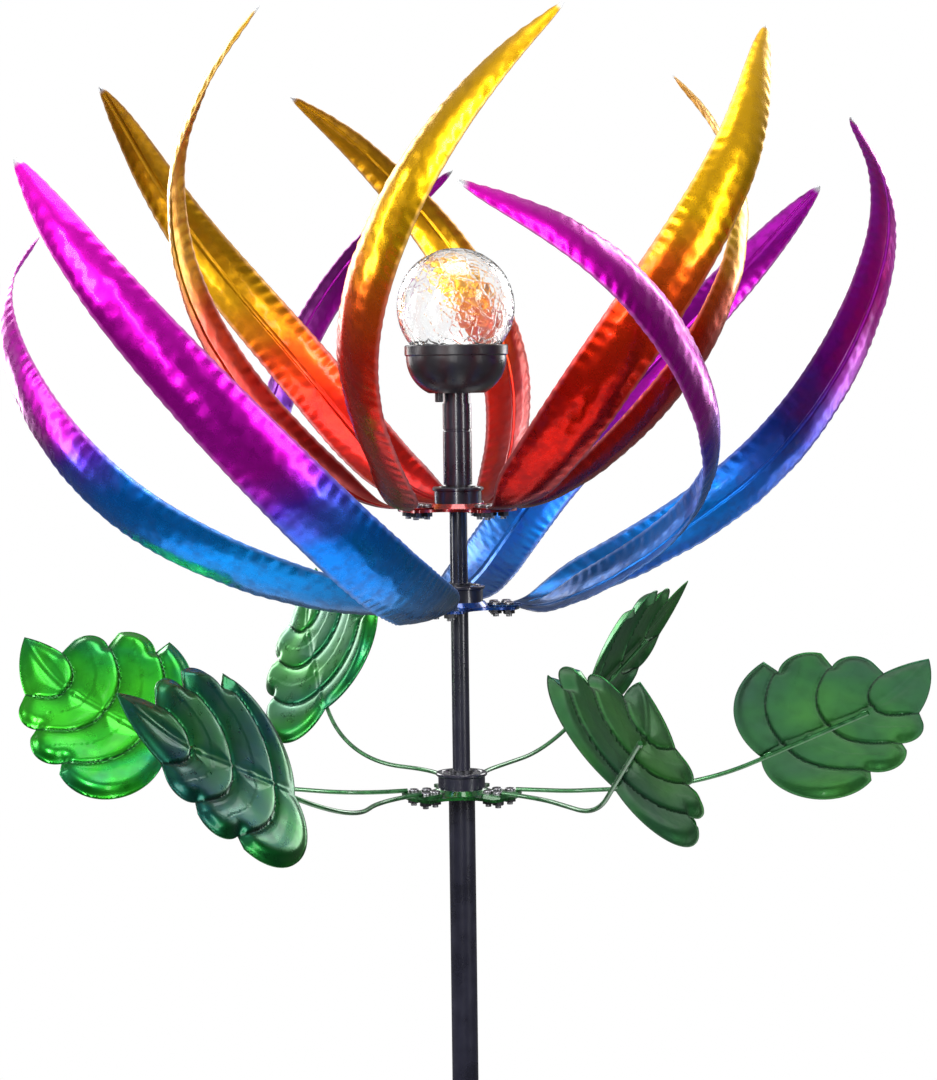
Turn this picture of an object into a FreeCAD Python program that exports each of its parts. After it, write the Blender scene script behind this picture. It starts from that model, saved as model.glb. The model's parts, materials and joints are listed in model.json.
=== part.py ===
import FreeCAD, Part
import math
import os

# Solar lotus wind spinner on a garden pole, in millimetres. The origin is on the pole's axis at the
# ground line, which is the underside of the stake's step bar. +Z is up and -Y is the front.
# Three rotors turn on the pole, each on its own ball bearing: six upper petals, six middle petals bent
# the other way, and six leaves. A solar lamp stands in a sleeve above them.

V = FreeCAD.Vector
X_AXIS = V(1, 0, 0)
Y_AXIS = V(0, 1, 0)
Z_AXIS = V(0, 0, 1)

# Heights of the three rotors: the underside of each arm plate's lobes.
UPPER_Z = 1342.0
MIDDLE_Z = UPPER_Z - 67.0
LEAF_Z = UPPER_Z - 195.0
ROTOR_HEIGHTS = [UPPER_Z, MIDDLE_Z, LEAF_Z]

# Pole, shaft and stake.
FIT = 0.05                  # radial clearance of parts that slip into one another
SHAFT_R = 6.0
SHAFT_DEPTH = 70.0          # how far the shaft reaches down into the upper pole
POLE_R = 9.0
POLE_WALL = 1.2
POLE_JOINT_Z = 575.0
POLE_TOP_Z = LEAF_Z + 1.5
FERRULE_LENGTH = 90.0
BUSH_FLANGE = 1.5
BUSH_LENGTH = 30.0
BAR_SIZE = (130.0, 25.0, 4.0)
SOCKET_R = 11.0
SOCKET_LENGTH = 90.0
PRONG_R = 4.0
PRONG_SPACING = 50.0
PRONG_STRAIGHT = 190.0
PRONG_POINT = 30.0

# Bearing hub, measured up from the underside of the arm plate's lobes.
SHEET = 2.0                 # arm plate thickness
JOGGLE = 3.0                # height of the plate's centre disc above its lobes
HUB_FLOOR = JOGGLE + SHEET
HUB_TOP = HUB_FLOOR + 11.0
HUB_R = 16.0
HUB_FLANGE_R = 17.5
HUB_FLANGE = 2.5
HUB_HOLE_R = 11.0
BEARING_R = 14.0            # 12 x 28 x 8 ball bearing
BEARING_Z = HUB_FLOOR + 2.0
BEARING_HEIGHT = 8.0
INNER_RING_R = 8.4
OUTER_RING_R = 11.5
SHIELD_R = 8.7
SHIELD = 0.5
BALL_R = 1.45
BALL_COUNT = 8
COLLAR_R = 8.4
COLLAR_TOP = BEARING_Z + BEARING_HEIGHT + 2.5

# Arm plate: a trefoil with two feet on each lobe.
PLATE_R = 41.0
PLATE_DISC_R = 16.4
PLATE_RAMP_R = 19.0
NOTCH_CENTRE_R = 46.0
NOTCH_R = 23.0
LOBE_CORNER_R = 3.0
FOOT_ANGLE = 14.0           # a foot's azimuth from its lobe's centre line
FOOT_SHIFT = 30.0 - FOOT_ANGLE  # and from the azimuth that six evenly spaced feet would have
FOOT_HOLE_RADII = (25.0, 34.0)
FOOT_END_R = 4.8
FOOT_WIDTH = 14.0
SCREW_R = 2.0
SCREW_HOLE_R = 2.15
HEAD_R = 3.5
HEAD_HEIGHT = 2.2
NUT_FLATS = 7.0
NUT_HEIGHT = 3.2
SCREW_TAIL = 2.0            # thread that stands out below its nut
LEAF_RING_LOW = BUSH_FLANGE + 1.5  # the lowest collar stands on the pole's top bush

# Petals. A petal's centre line is a cubic B-spline. Its first two points lie on the foot, and the rest
# are (radius, sweep from the mean foot azimuth in degrees, height above the lobes' underside).
PETAL_SHEET = 0.8
PETAL_START_R = 52.0
PETAL_CUP = 6.0             # depth of the trough where the petal is widest
PETAL_TIP_WIDTH = 2.4
PETAL_SECTIONS = 16
PETAL_LEAN_CENTRE = V(0, 0, 220)
TIP_SWEEP = 65.0            # azimuth from the mean foot to the tip
UPPER_POLES = [(72, 13, 4), (176, 17, 94), (242, 38, 222), (228, 55, 290), (230, 62, 308)]
UPPER_PITCH = (0, -42, -42, -32)
UPPER_WIDTH = 46.0
MIDDLE_POLES = [(74, 13, 2), (250, 16, 70), (338, 47, 246), (322, 59, 288), (324, 63, 302)]
MIDDLE_PITCH = (0, -74, -14, -42)
MIDDLE_WIDTH = 46.0
# Every petal is bent a little by hand: (turn, lean, side) in degrees, anticlockwise from the first tip.
UPPER_FIRST_TIP = -6.0
UPPER_BENDS = [(2, -2, 3), (-8, -2, 0), (5, -4, -3), (-4, 2, -3), (6, -2, 1), (-4, 1, 0)]
MIDDLE_FIRST_TIP = 30.0
MIDDLE_BENDS = [(0, 3, 0), (4, 0, 4), (-2, -1, -7), (-2, 11, 2), (-9, -9, -9), (8, -5, 0)]

# Leaves and stems. Each leaf's base lies on a circle, and its midrib is turned back from the radius.
LEAF_SHEET = 0.8
LEAF_BASE_R = 205.0
LEAF_BASE_Z = 31.0
LEAF_YAW = -17.5            # the midrib's azimuth from that of its base
LEAF_MIDRIB = 88.0          # length of the straight midrib that the stem is welded to
LEAF_AZIMUTHS = [-14, 63, 120, 174, 240, 297]
LEAF_PITCHES = [48, 55, 53, 46, 54, 51]
LEAF_SLOPES = [25, 32, 38, 25, 25, 28]
LEAF_LIFTS = [0, 4, 5, 0, 0, 3]
STEM_R = 1.5
STEM_FOOT_WIDTH = 11.0
STEM_START_R = PLATE_R - 2.5
STEM_KNEE_R = 75.0
STEM_BEND_RADII = (90.0, 140.0)
STEM_CORNER = 50.0          # distance of the stem's second corner from the leaf's base
LEAF_LOBE_AZIMUTH = -30.0
# Each side of the leaf is four lobes. A lobe runs from its start through a bulge to its peak, then steps
# in to the next start. Points are (distance along the midrib, distance across it).
LEAF_UPPER_LOBES = [
    ((0, 0), (8, -43), (51, -71)),
    ((54, -59), (71, -65.5), (86.5, -58)),
    ((86, -45), (99, -47), (110, -33)),
    ((110.5, -23), (126, -22.5), (141.5, -19)),
]
LEAF_LOWER_LOBES = [
    ((0, 0), (12, 55), (50, 56)),
    ((54, 48.5), (70, 54), (85, 44)),
    ((86, 36.5), (97, 37.5), (108, 27)),
    ((110.5, 18.5), (128, 3.5), (141.5, -19)),
]

# Lamp, measured up from the bowl's flat bottom.
SLEEVE_Z = UPPER_Z + COLLAR_TOP
SLEEVE_R = 9.7
SLEEVE_BORE_R = 9.05
SLEEVE_LENGTH = 55.0
CRIMP_Z = 37.0
CRIMP_DEPTH = 0.5
STEM_TUBE_WALL = 1.2
BOWL_Z = SLEEVE_Z + SLEEVE_LENGTH + 7.0
BOWL_FOOT_R = 19.0
BOWL_STEP_Z = 25.0
BOWL_HEIGHT = 32.5
BOWL_R = 35.0
BOWL_WALL = 2.0
BOWL_RIM = 2.5              # wall of the rim band
GLOBE_R = 40.0
GLOBE_WALL = 2.0
GLOBE_CENTRE_Z = BOWL_Z + 57.8
GLOBE_CUT_Z = BOWL_Z + 28.0
SWITCH_XY = (-12.0, -6.4)
BUTTON_R = 2.75
BUTTON_OUT = 6.0
BUTTON_FLANGE_R = 3.5
SWITCH_R = 4.6
BATTERY_R = 5.25
BATTERY_LENGTH = 44.5
BATTERY_Z = 15.55           # height of its axis
CRADLE_TOP = 12.0
CRADLE_Y = 14.0
CRADLE_SIZE = (16.0, 2.0)
PANEL_R = 31.0
PANEL_SHEET = 2.0
LED_R = 2.5
LED_LENGTH = 3.5
SHELF_R = 29.0
SEAL_R = 27.2
SEAL_LOW = 27.3
SEAL_HIGH = 31.6


def export(name, shape):
    shape.exportStep("parts/" + name + ".step")


def group(shapes):
    return Part.makeCompound(shapes)


def tube(outer, inner, low, high):
    body = Part.makeCylinder(outer, high - low, V(0, 0, low))
    return body.cut(Part.makeCylinder(inner, high - low, V(0, 0, low)))


def turned(points, base_z=0.0):
    """Solid of revolution about Z from a closed (radius, height) outline."""
    outline = [V(r, 0, z + base_z) for r, z in points]
    face = Part.Face(Part.makePolygon(outline + outline[:1]))
    return face.revolve(V(0, 0, 0), Z_AXIS, 360)


def spun(shape, azimuth):
    copy = shape.copy()
    copy.rotate(V(0, 0, 0), Z_AXIS, azimuth)
    return copy


def raised(shape, height):
    copy = shape.copy()
    copy.translate(V(0, 0, height))
    return copy


def polar(radius, azimuth, height=0.0):
    angle = math.radians(azimuth)
    return V(radius * math.cos(angle), radius * math.sin(angle), height)


# --- stake and pole -------------------------------------------------------------------------------

def stake_prongs():
    straight = Part.makeCylinder(PRONG_R, PRONG_STRAIGHT, V(0, 0, -PRONG_STRAIGHT))
    tip_z = -PRONG_STRAIGHT - PRONG_POINT
    point = Part.makeCone(0.6, PRONG_R, PRONG_POINT, V(0, 0, tip_z))
    prong = straight.fuse(point).removeSplitter()
    prongs = []
    for x in (-PRONG_SPACING, 0, PRONG_SPACING):
        copy = prong.copy()
        copy.translate(V(x, 0, 0))
        prongs.append(copy)
    return group(prongs)


def stake_step_bar():
    length, width, height = BAR_SIZE
    bar = Part.makeBox(length, width, height, V(-length / 2, -width / 2, 0))
    corners = [edge for edge in bar.Edges if abs(edge.tangentAt(edge.FirstParameter).z) > 0.9]
    return bar.makeFillet(width * 0.3, corners)


def stake_socket():
    low = BAR_SIZE[2]
    return tube(SOCKET_R, POLE_R + FIT, low, low + SOCKET_LENGTH)


def pole_top_bush():
    pole_bore = POLE_R - POLE_WALL
    return turned([
        (SHAFT_R + FIT, -BUSH_LENGTH), (pole_bore - FIT, -BUSH_LENGTH), (pole_bore - FIT, 0),
        (POLE_R - 0.4, 0), (POLE_R - 0.4, BUSH_FLANGE), (SHAFT_R + FIT, BUSH_FLANGE),
    ], POLE_TOP_Z)


def make_pole():
    pole_bore = POLE_R - POLE_WALL
    export("stake_prongs", stake_prongs())
    export("stake_step_bar", stake_step_bar())
    export("stake_socket", stake_socket())
    export("pole_lower", tube(POLE_R, pole_bore, BAR_SIZE[2], POLE_JOINT_Z))
    export("pole_upper", tube(POLE_R, pole_bore, POLE_JOINT_Z, POLE_TOP_Z))
    half = FERRULE_LENGTH / 2
    ferrule = tube(pole_bore - FIT, pole_bore - FIT - POLE_WALL, POLE_JOINT_Z - half, POLE_JOINT_Z + half)
    export("pole_joint_ferrule", ferrule)
    export("pole_top_bush", pole_top_bush())
    shaft_low = POLE_TOP_Z - SHAFT_DEPTH
    shaft_high = SLEEVE_Z + CRIMP_Z - 2.0
    shaft = Part.makeCylinder(SHAFT_R, shaft_high - shaft_low, V(0, 0, shaft_low))
    export("rotor_shaft", shaft)


# --- bearing hubs ---------------------------------------------------------------------------------

def retaining_rings():
    rings = []
    for base in ROTOR_HEIGHTS:
        low = base + (LEAF_RING_LOW if base == LEAF_Z else SHEET)
        rings.append(tube(COLLAR_R, SHAFT_R + FIT, low, base + BEARING_Z))
        rings.append(tube(COLLAR_R, SHAFT_R + FIT, base + BEARING_Z + BEARING_HEIGHT, base + COLLAR_TOP))
    return group(rings)


def bearing_inner_rings():
    rings = []
    for base in ROTOR_HEIGHTS:
        low = base + BEARING_Z
        rings.append(tube(INNER_RING_R, SHAFT_R + FIT, low, low + BEARING_HEIGHT))
    return group(rings)


def bearing():
    """Outer ring with its two shields, and the balls between the rings."""
    top = BEARING_HEIGHT
    ring = turned([
        (SHIELD_R, 0), (BEARING_R, 0), (BEARING_R, top), (SHIELD_R, top),
        (SHIELD_R, top - SHIELD), (OUTER_RING_R, top - SHIELD), (OUTER_RING_R, SHIELD), (SHIELD_R, SHIELD),
    ], BEARING_Z)
    track_r = (INNER_RING_R + OUTER_RING_R) / 2
    pieces = [ring]
    for i in range(BALL_COUNT):
        centre = polar(track_r, 360 * i / BALL_COUNT, BEARING_Z + top / 2)
        pieces.append(Part.makeSphere(BALL_R, centre))
    return group(pieces)


def hub_housing():
    """Turned cup with a top flange: the bearing drops in from above onto the floor."""
    bore = BEARING_R + FIT
    edge = 0.6
    return turned([
        (HUB_HOLE_R, HUB_FLOOR), (HUB_R, HUB_FLOOR), (HUB_R, HUB_TOP - HUB_FLANGE),
        (HUB_FLANGE_R - edge, HUB_TOP - HUB_FLANGE), (HUB_FLANGE_R, HUB_TOP - HUB_FLANGE + edge),
        (HUB_FLANGE_R, HUB_TOP - edge), (HUB_FLANGE_R - edge, HUB_TOP), (bore + edge, HUB_TOP),
        (bore, HUB_TOP - edge), (bore, BEARING_Z), (HUB_HOLE_R, BEARING_Z),
    ])


def foot_azimuths(lobe_azimuth):
    """The six feet: two on each of the three lobes."""
    return [lobe_azimuth + 120 * lobe + side * FOOT_ANGLE for lobe in range(3) for side in (-1, 1)]


def arm_plate(lobe_azimuth):
    """Trefoil sheet: a raised centre disc, a conical ramp, and three flat lobes with screw holes."""
    plate = turned([
        (HUB_HOLE_R, JOGGLE), (PLATE_DISC_R, JOGGLE), (PLATE_RAMP_R, 0), (PLATE_R, 0),
        (PLATE_R, SHEET), (PLATE_RAMP_R + 0.9, SHEET), (PLATE_DISC_R + 0.9, HUB_FLOOR),
        (HUB_HOLE_R, HUB_FLOOR),
    ])
    for lobe in range(3):
        notch_at = polar(NOTCH_CENTRE_R, 60 + 120 * lobe, -1)
        plate = plate.cut(Part.makeCylinder(NOTCH_R, HUB_FLOOR + 2, notch_at))
    corners = [
        edge for edge in plate.Edges
        if abs(edge.Length - SHEET) < 0.01 and math.hypot(edge.CenterOfMass.x, edge.CenterOfMass.y) > 40
    ]
    plate = plate.makeFillet(LOBE_CORNER_R, corners)
    plate = spun(plate, lobe_azimuth)
    for azimuth in foot_azimuths(lobe_azimuth):
        for radius in FOOT_HOLE_RADII:
            plate = plate.cut(Part.makeCylinder(SCREW_HOLE_R, 4, polar(radius, azimuth, -1)))
    return plate


def arm_screws(lobe_azimuth, clamp_height):
    """Pan-head screws through the feet and the plate, with their heads on top."""
    shank_low = -NUT_HEIGHT - SCREW_TAIL
    shank = Part.makeCylinder(SCREW_R, clamp_height - shank_low, V(0, 0, shank_low))
    head = Part.makeCylinder(HEAD_R, HEAD_HEIGHT, V(0, 0, clamp_height))
    head = head.makeFillet(1.2, [e for e in head.Edges if e.CenterOfMass.z > clamp_height + 2])
    slot = Part.makeBox(HEAD_R * 1.1, 0.9, 1.0, V(-HEAD_R * 0.55, -0.45, clamp_height + HEAD_HEIGHT - 1.0))
    screw = head.cut(slot).cut(slot.rotated(V(0, 0, 0), Z_AXIS, 90)).fuse(shank).removeSplitter()
    screws = []
    for azimuth in foot_azimuths(lobe_azimuth):
        for radius in FOOT_HOLE_RADII:
            copy = screw.copy()
            copy.translate(polar(radius, azimuth))
            screws.append(copy)
    return group(screws)


def arm_nuts(lobe_azimuth):
    corner_r = NUT_FLATS / math.sqrt(3)
    hexagon = [polar(corner_r, 60 * i, -NUT_HEIGHT) for i in range(7)]
    nut = Part.Face(Part.makePolygon(hexagon)).extrude(V(0, 0, NUT_HEIGHT))
    nut = nut.cut(Part.makeCylinder(SCREW_R + 0.02, NUT_HEIGHT, V(0, 0, -NUT_HEIGHT)))
    nuts = []
    for azimuth in foot_azimuths(lobe_azimuth):
        for radius in FOOT_HOLE_RADII:
            copy = spun(nut, azimuth)
            copy.translate(polar(radius, azimuth))
            nuts.append(copy)
    return group(nuts)


def make_hub(name, base, lobe_azimuth, clamp_height):
    export(name + "_hub_housing", raised(hub_housing(), base))
    export(name + "_bearing", raised(bearing(), base))
    export(name + "_arm_plate", raised(arm_plate(lobe_azimuth), base))
    export(name + "_screws", raised(arm_screws(lobe_azimuth, clamp_height), base))
    export(name + "_nuts", raised(arm_nuts(lobe_azimuth), base))


# --- petals ---------------------------------------------------------------------------------------

def spline_through(poles):
    """Clamped cubic B-spline with evenly spaced inner knots."""
    spans = len(poles) - 3
    knots = [i / spans for i in range(spans + 1)]
    mults = [4] + [1] * (spans - 1) + [4]
    curve = Part.BSplineCurve()
    curve.buildFromPolesMultsKnots(poles, mults, knots, False, 3)
    return curve


def bezier(values, t):
    a, b, c, d = values
    s = 1 - t
    return a * s ** 3 + 3 * b * s * s * t + 3 * c * s * t * t + d * t ** 3


def smooth_step(value):
    x = min(max(value, 0.0), 1.0)
    return x * x * (3 - 2 * x)


def petal_width(widest, t):
    """The foot's width at t = 0, swelling to the widest near the middle, and a narrow rounded tip."""
    blend = smooth_step(t / 0.25)
    leaf = math.sin(math.pi * t ** 0.85) ** 0.62 if 0 < t < 1 else 0.0
    return max(FOOT_WIDTH * (1 - blend) + widest * leaf * blend, PETAL_TIP_WIDTH)


def bent(point, pivot, bend):
    """A point turned about the petal's root by its (turn, lean, side) angles."""
    turn, lean, side = bend
    arm = FreeCAD.Rotation(Y_AXIS, lean).multVec(point - pivot)
    arm = FreeCAD.Rotation(X_AXIS, side).multVec(arm)
    return pivot + FreeCAD.Rotation(Z_AXIS, turn).multVec(arm)


def petal_spine(poles, foot_side, bend):
    """Centre line in the petal's own frame, whose X axis is the mean foot azimuth."""
    height = SHEET + PETAL_SHEET / 2
    foot = foot_side * FOOT_SHIFT
    root = polar(PETAL_START_R, foot, height)
    blade = [bent(polar(r, sweep, z), root, bend) for r, sweep, z in poles]
    return spline_through([polar(PLATE_R, foot, height), root] + blade)


def petal_section(curve, t, pitch, widest):
    """Closed trough section: two arcs, a sheet's thickness apart, joined by two short edges."""
    centre = curve.value(t)
    along = curve.tangent(t)[0].normalize()
    outward = centre - PETAL_LEAN_CENTRE
    outward = (outward - along * outward.dot(along)).normalize()
    outward = FreeCAD.Rotation(along, bezier(pitch, t)).multVec(outward)
    across = outward.cross(along)
    width = petal_width(widest, t)
    cup = PETAL_CUP * width / widest * smooth_step(t / 0.15)
    edges = []
    for offset in (PETAL_SHEET / 2, -PETAL_SHEET / 2):
        middle = centre + outward * offset
        left = middle - across * (width / 2) - outward * cup
        right = middle + across * (width / 2) - outward * cup
        bulge = middle + outward * 0.001
        edges.append(Part.Arc(left, bulge, right).toShape())
    outer, inner = edges
    ends = [
        Part.makeLine(outer.valueAt(outer.LastParameter), inner.valueAt(inner.LastParameter)),
        Part.makeLine(inner.valueAt(inner.FirstParameter), outer.valueAt(outer.FirstParameter)),
    ]
    return Part.Wire(Part.__sortEdges__([outer, ends[0], inner, ends[1]]))


def foot_tab(foot_azimuth, thickness, end_width, outer_r):
    """Flat foot with a round inner end, two screw holes and its outer end at outer_r."""
    inner_r = FOOT_HOLE_RADII[0]
    low = SHEET
    half = end_width / 2
    outline = Part.Wire([
        Part.Arc(V(inner_r, FOOT_END_R, low), V(inner_r - FOOT_END_R, 0, low),
                 V(inner_r, -FOOT_END_R, low)).toShape(),
        Part.makeLine(V(inner_r, -FOOT_END_R, low), V(outer_r, -half, low)),
        Part.makeLine(V(outer_r, -half, low), V(outer_r, half, low)),
        Part.makeLine(V(outer_r, half, low), V(inner_r, FOOT_END_R, low)),
    ])
    tab = Part.Face(outline).extrude(V(0, 0, thickness))
    for radius in FOOT_HOLE_RADII:
        tab = tab.cut(Part.makeCylinder(SCREW_HOLE_R, thickness, V(radius, 0, low)))
    return spun(tab, foot_azimuth)


def petal(poles, pitch, widest, foot_side, bend):
    curve = petal_spine(poles, foot_side, bend)
    stations = [i / (PETAL_SECTIONS - 1) for i in range(PETAL_SECTIONS)]
    sections = [petal_section(curve, t, pitch, widest) for t in stations]
    blade = Part.makeLoft(sections, True, False)
    tab = foot_tab(foot_side * FOOT_SHIFT, PETAL_SHEET, FOOT_WIDTH, PLATE_R)
    return blade.fuse(tab).removeSplitter()


def make_petals(name, base, poles, pitch, widest, first_tip, bends, turn_sense):
    """Six petals 60 degrees apart. turn_sense is 1 where they sweep anticlockwise, -1 for the mirror."""
    for i, bend in enumerate(bends):
        foot_side = turn_sense if i % 2 == 0 else -turn_sense
        shape = petal(poles, pitch, widest, foot_side, bend)
        if turn_sense < 0:
            shape = shape.mirror(V(0, 0, 0), Y_AXIS)
        shape = spun(shape, first_tip + 60 * i - turn_sense * TIP_SWEEP)
        export("%s_petal_%d" % (name, i + 1), raised(shape, base))


# --- leaves ---------------------------------------------------------------------------------------

def leaf_outline():
    """Closed outline in the leaf's plane: lobes as arcs, with a short step in at each notch."""
    edges = []
    for lobes in (LEAF_UPPER_LOBES, LEAF_LOWER_LOBES):
        previous = None
        for lobe in lobes:
            start, bulge, peak = [V(u, v, 0) for u, v in lobe]
            if previous is not None:
                edges.append(Part.makeLine(previous, start))
            edges.append(Part.Arc(start, bulge, peak).toShape())
            previous = peak
    return Part.Wire(Part.__sortEdges__(edges))


def leaf_flat():
    """Leaf in its own frame: base at the origin, midrib along +X, front facing +Z."""
    return Part.Face(leaf_outline()).extrude(V(0, 0, LEAF_SHEET))


def leaf_placement(leaf):
    """From the leaf's own frame to the rotor: pitched about its midrib, sloped, turned and set outwards."""
    azimuth = LEAF_AZIMUTHS[leaf]
    turn = FreeCAD.Rotation(Z_AXIS, azimuth + LEAF_YAW)
    slope = FreeCAD.Rotation(Y_AXIS, -LEAF_SLOPES[leaf])
    roll = FreeCAD.Rotation(X_AXIS, -LEAF_PITCHES[leaf])
    base = polar(LEAF_BASE_R, azimuth, LEAF_BASE_Z + LEAF_LIFTS[leaf])
    return FreeCAD.Placement(base, turn.multiply(slope).multiply(roll))


def rounded_path(points, radii):
    """Straight runs joined by tangent arcs, one radius for each corner."""
    edges = []
    start = points[0]
    for before, corner, after, bend_r in zip(points, points[1:], points[2:], radii):
        back = (before - corner).normalize()
        ahead = (after - corner).normalize()
        half_turn = (math.pi - back.getAngle(ahead)) / 2
        reach = bend_r * math.tan(half_turn)
        middle_way = (back + ahead).normalize()
        centre = corner + middle_way * (bend_r / math.cos(half_turn))
        first = corner + back * reach
        last = corner + ahead * reach
        middle = centre - middle_way * bend_r
        edges.append(Part.makeLine(start, first))
        edges.append(Part.Arc(first, middle, last).toShape())
        start = last
    edges.append(Part.makeLine(start, points[-1]))
    return Part.Wire(edges)


def leaf_stem(placement, foot_azimuth):
    """Round rod from its foot on the lobe to the back of the leaf, with the foot welded to it."""
    rod_z = SHEET + SHEET + STEM_R - 0.3
    below = -STEM_R - 0.15
    points = [
        polar(STEM_START_R, foot_azimuth, rod_z),
        polar(STEM_KNEE_R, foot_azimuth, rod_z),
        placement.multVec(V(-STEM_CORNER, 0, below)),
        placement.multVec(V(LEAF_MIDRIB - 4, 0, below)),
    ]
    path = rounded_path(points, STEM_BEND_RADII)
    direction = points[1] - points[0]
    ring = Part.Wire([Part.makeCircle(STEM_R, points[0], direction)])
    rod = path.makePipeShell([ring], True, False)
    tab = foot_tab(foot_azimuth, SHEET, STEM_FOOT_WIDTH, PLATE_R)
    return rod.fuse(tab).removeSplitter()


def make_leaves():
    flat = leaf_flat()
    feet = sorted(foot_azimuths(LEAF_LOBE_AZIMUTH), key=lambda azimuth: (azimuth + 30) % 360)
    for i, foot_azimuth in enumerate(feet):
        placement = leaf_placement(i)
        leaf = flat.copy()
        leaf.Placement = placement
        export("leaf_%d" % (i + 1), raised(leaf, LEAF_Z))
        export("leaf_stem_%d" % (i + 1), raised(leaf_stem(placement, foot_azimuth), LEAF_Z))


# --- lamp -----------------------------------------------------------------------------------------

def lamp_sleeve():
    """Thin tube with a rolled crimp: the bush fills it below, the lamp's stem drops in above."""
    low, high = CRIMP_Z - 1, CRIMP_Z + 1
    groove_r = SLEEVE_R - CRIMP_DEPTH
    rib_r = SLEEVE_BORE_R - CRIMP_DEPTH
    return turned([
        (SLEEVE_BORE_R, 0), (SLEEVE_R, 0), (SLEEVE_R, low), (groove_r, low + 0.5), (groove_r, high - 0.5),
        (SLEEVE_R, high), (SLEEVE_R, SLEEVE_LENGTH), (SLEEVE_BORE_R, SLEEVE_LENGTH),
        (SLEEVE_BORE_R, high), (rib_r, high - 0.5), (rib_r, low + 0.5), (SLEEVE_BORE_R, low),
    ], SLEEVE_Z)


def lamp_bowl():
    """Moulded cup with a rim band, a shelf for the solar panel and two cradle ribs for the battery."""
    wall = BOWL_WALL
    top = BOWL_HEIGHT
    inner_r = BOWL_R - BOWL_RIM
    outer_wall = Part.Arc(V(BOWL_FOOT_R, 0, 0), V(29.4, 0, 9.2), V(BOWL_R - 1, 0, BOWL_STEP_Z))
    inner_foot_r = 18.4
    inner_wall = Part.Arc(V(SHELF_R, 0, BOWL_STEP_Z - 3), V(26.4, 0, 10.6), V(inner_foot_r, 0, wall))
    corners = [
        V(BOWL_R - 1, 0, BOWL_STEP_Z), V(BOWL_R, 0, BOWL_STEP_Z + 1), V(BOWL_R, 0, top - 0.8),
        V(BOWL_R - 0.8, 0, top), V(inner_r, 0, top), V(inner_r, 0, BOWL_STEP_Z),
        V(SHELF_R, 0, BOWL_STEP_Z), V(SHELF_R, 0, BOWL_STEP_Z - 3),
    ]
    edges = [outer_wall.toShape()]
    edges += [Part.makeLine(a, b) for a, b in zip(corners, corners[1:])]
    edges += [inner_wall.toShape(), Part.makeLine(V(inner_foot_r, 0, wall), V(POLE_R + FIT, 0, wall))]
    edges += [Part.makeLine(V(POLE_R + FIT, 0, wall), V(POLE_R + FIT, 0, 0))]
    edges += [Part.makeLine(V(POLE_R + FIT, 0, 0), V(BOWL_FOOT_R, 0, 0))]
    bowl = Part.Face(Part.Wire(Part.__sortEdges__(edges))).revolve(V(0, 0, 0), Z_AXIS, 360)
    length, thickness = CRADLE_SIZE
    for y in (-CRADLE_Y, CRADLE_Y):
        corner = V(-length / 2, y - thickness / 2, wall)
        bowl = bowl.fuse(Part.makeBox(length, thickness, CRADLE_TOP - wall, corner))
    battery_space = Part.makeCylinder(BATTERY_R + 0.1, 40, V(0, -20, BATTERY_Z), Y_AXIS)
    x, y = SWITCH_XY
    button_hole = Part.makeCylinder(BUTTON_R + 0.3, 6, V(x, y, -2))
    return bowl.cut(battery_space).cut(button_hole).removeSplitter()


def glass_globe():
    outer = Part.makeSphere(GLOBE_R, V(0, 0, GLOBE_CENTRE_Z))
    inner = Part.makeSphere(GLOBE_R - GLOBE_WALL, V(0, 0, GLOBE_CENTRE_Z))
    below = Part.makeBox(100, 100, 60, V(-50, -50, GLOBE_CUT_Z - 60))
    return outer.cut(inner).cut(below)


def globe_seal():
    ring = tube(BOWL_R - BOWL_RIM - FIT, SEAL_R, BOWL_Z + SEAL_LOW, BOWL_Z + SEAL_HIGH)
    return ring.cut(Part.makeSphere(GLOBE_R + FIT, V(0, 0, GLOBE_CENTRE_Z)))


def led():
    low = BOWL_Z + BOWL_STEP_Z + PANEL_SHEET
    barrel = Part.makeCylinder(LED_R, LED_LENGTH, V(0, 0, low))
    return barrel.fuse(Part.makeSphere(LED_R, V(0, 0, low + LED_LENGTH))).removeSplitter()


def battery():
    centre_z = BOWL_Z + BATTERY_Z
    half = BATTERY_LENGTH / 2
    cell = Part.makeCylinder(BATTERY_R, BATTERY_LENGTH - 1, V(0, -half, centre_z), Y_AXIS)
    cap = Part.makeCylinder(1.9, 1, V(0, half - 1, centre_z), Y_AXIS)
    return cell.fuse(cap).removeSplitter()


def switch_body():
    """Round can on the bowl's floor, open below for the button's flange."""
    x, y = SWITCH_XY
    floor = BOWL_Z + BOWL_WALL
    can = Part.makeCylinder(SWITCH_R, 8, V(x, y, floor))
    return can.cut(Part.makeCylinder(SWITCH_R - 0.7, 6, V(x, y, floor)))


def switch_button():
    x, y = SWITCH_XY
    button = Part.makeCylinder(BUTTON_R, BUTTON_OUT + BOWL_WALL + 0.5, V(x, y, BOWL_Z - BUTTON_OUT))
    low_edge = [e for e in button.Edges if e.CenterOfMass.z < BOWL_Z - BUTTON_OUT + 0.1]
    button = button.makeFillet(0.8, low_edge)
    flange = Part.makeCylinder(BUTTON_FLANGE_R, 1, V(x, y, BOWL_Z + BOWL_WALL + 0.3))
    return button.fuse(flange).removeSplitter()


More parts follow.
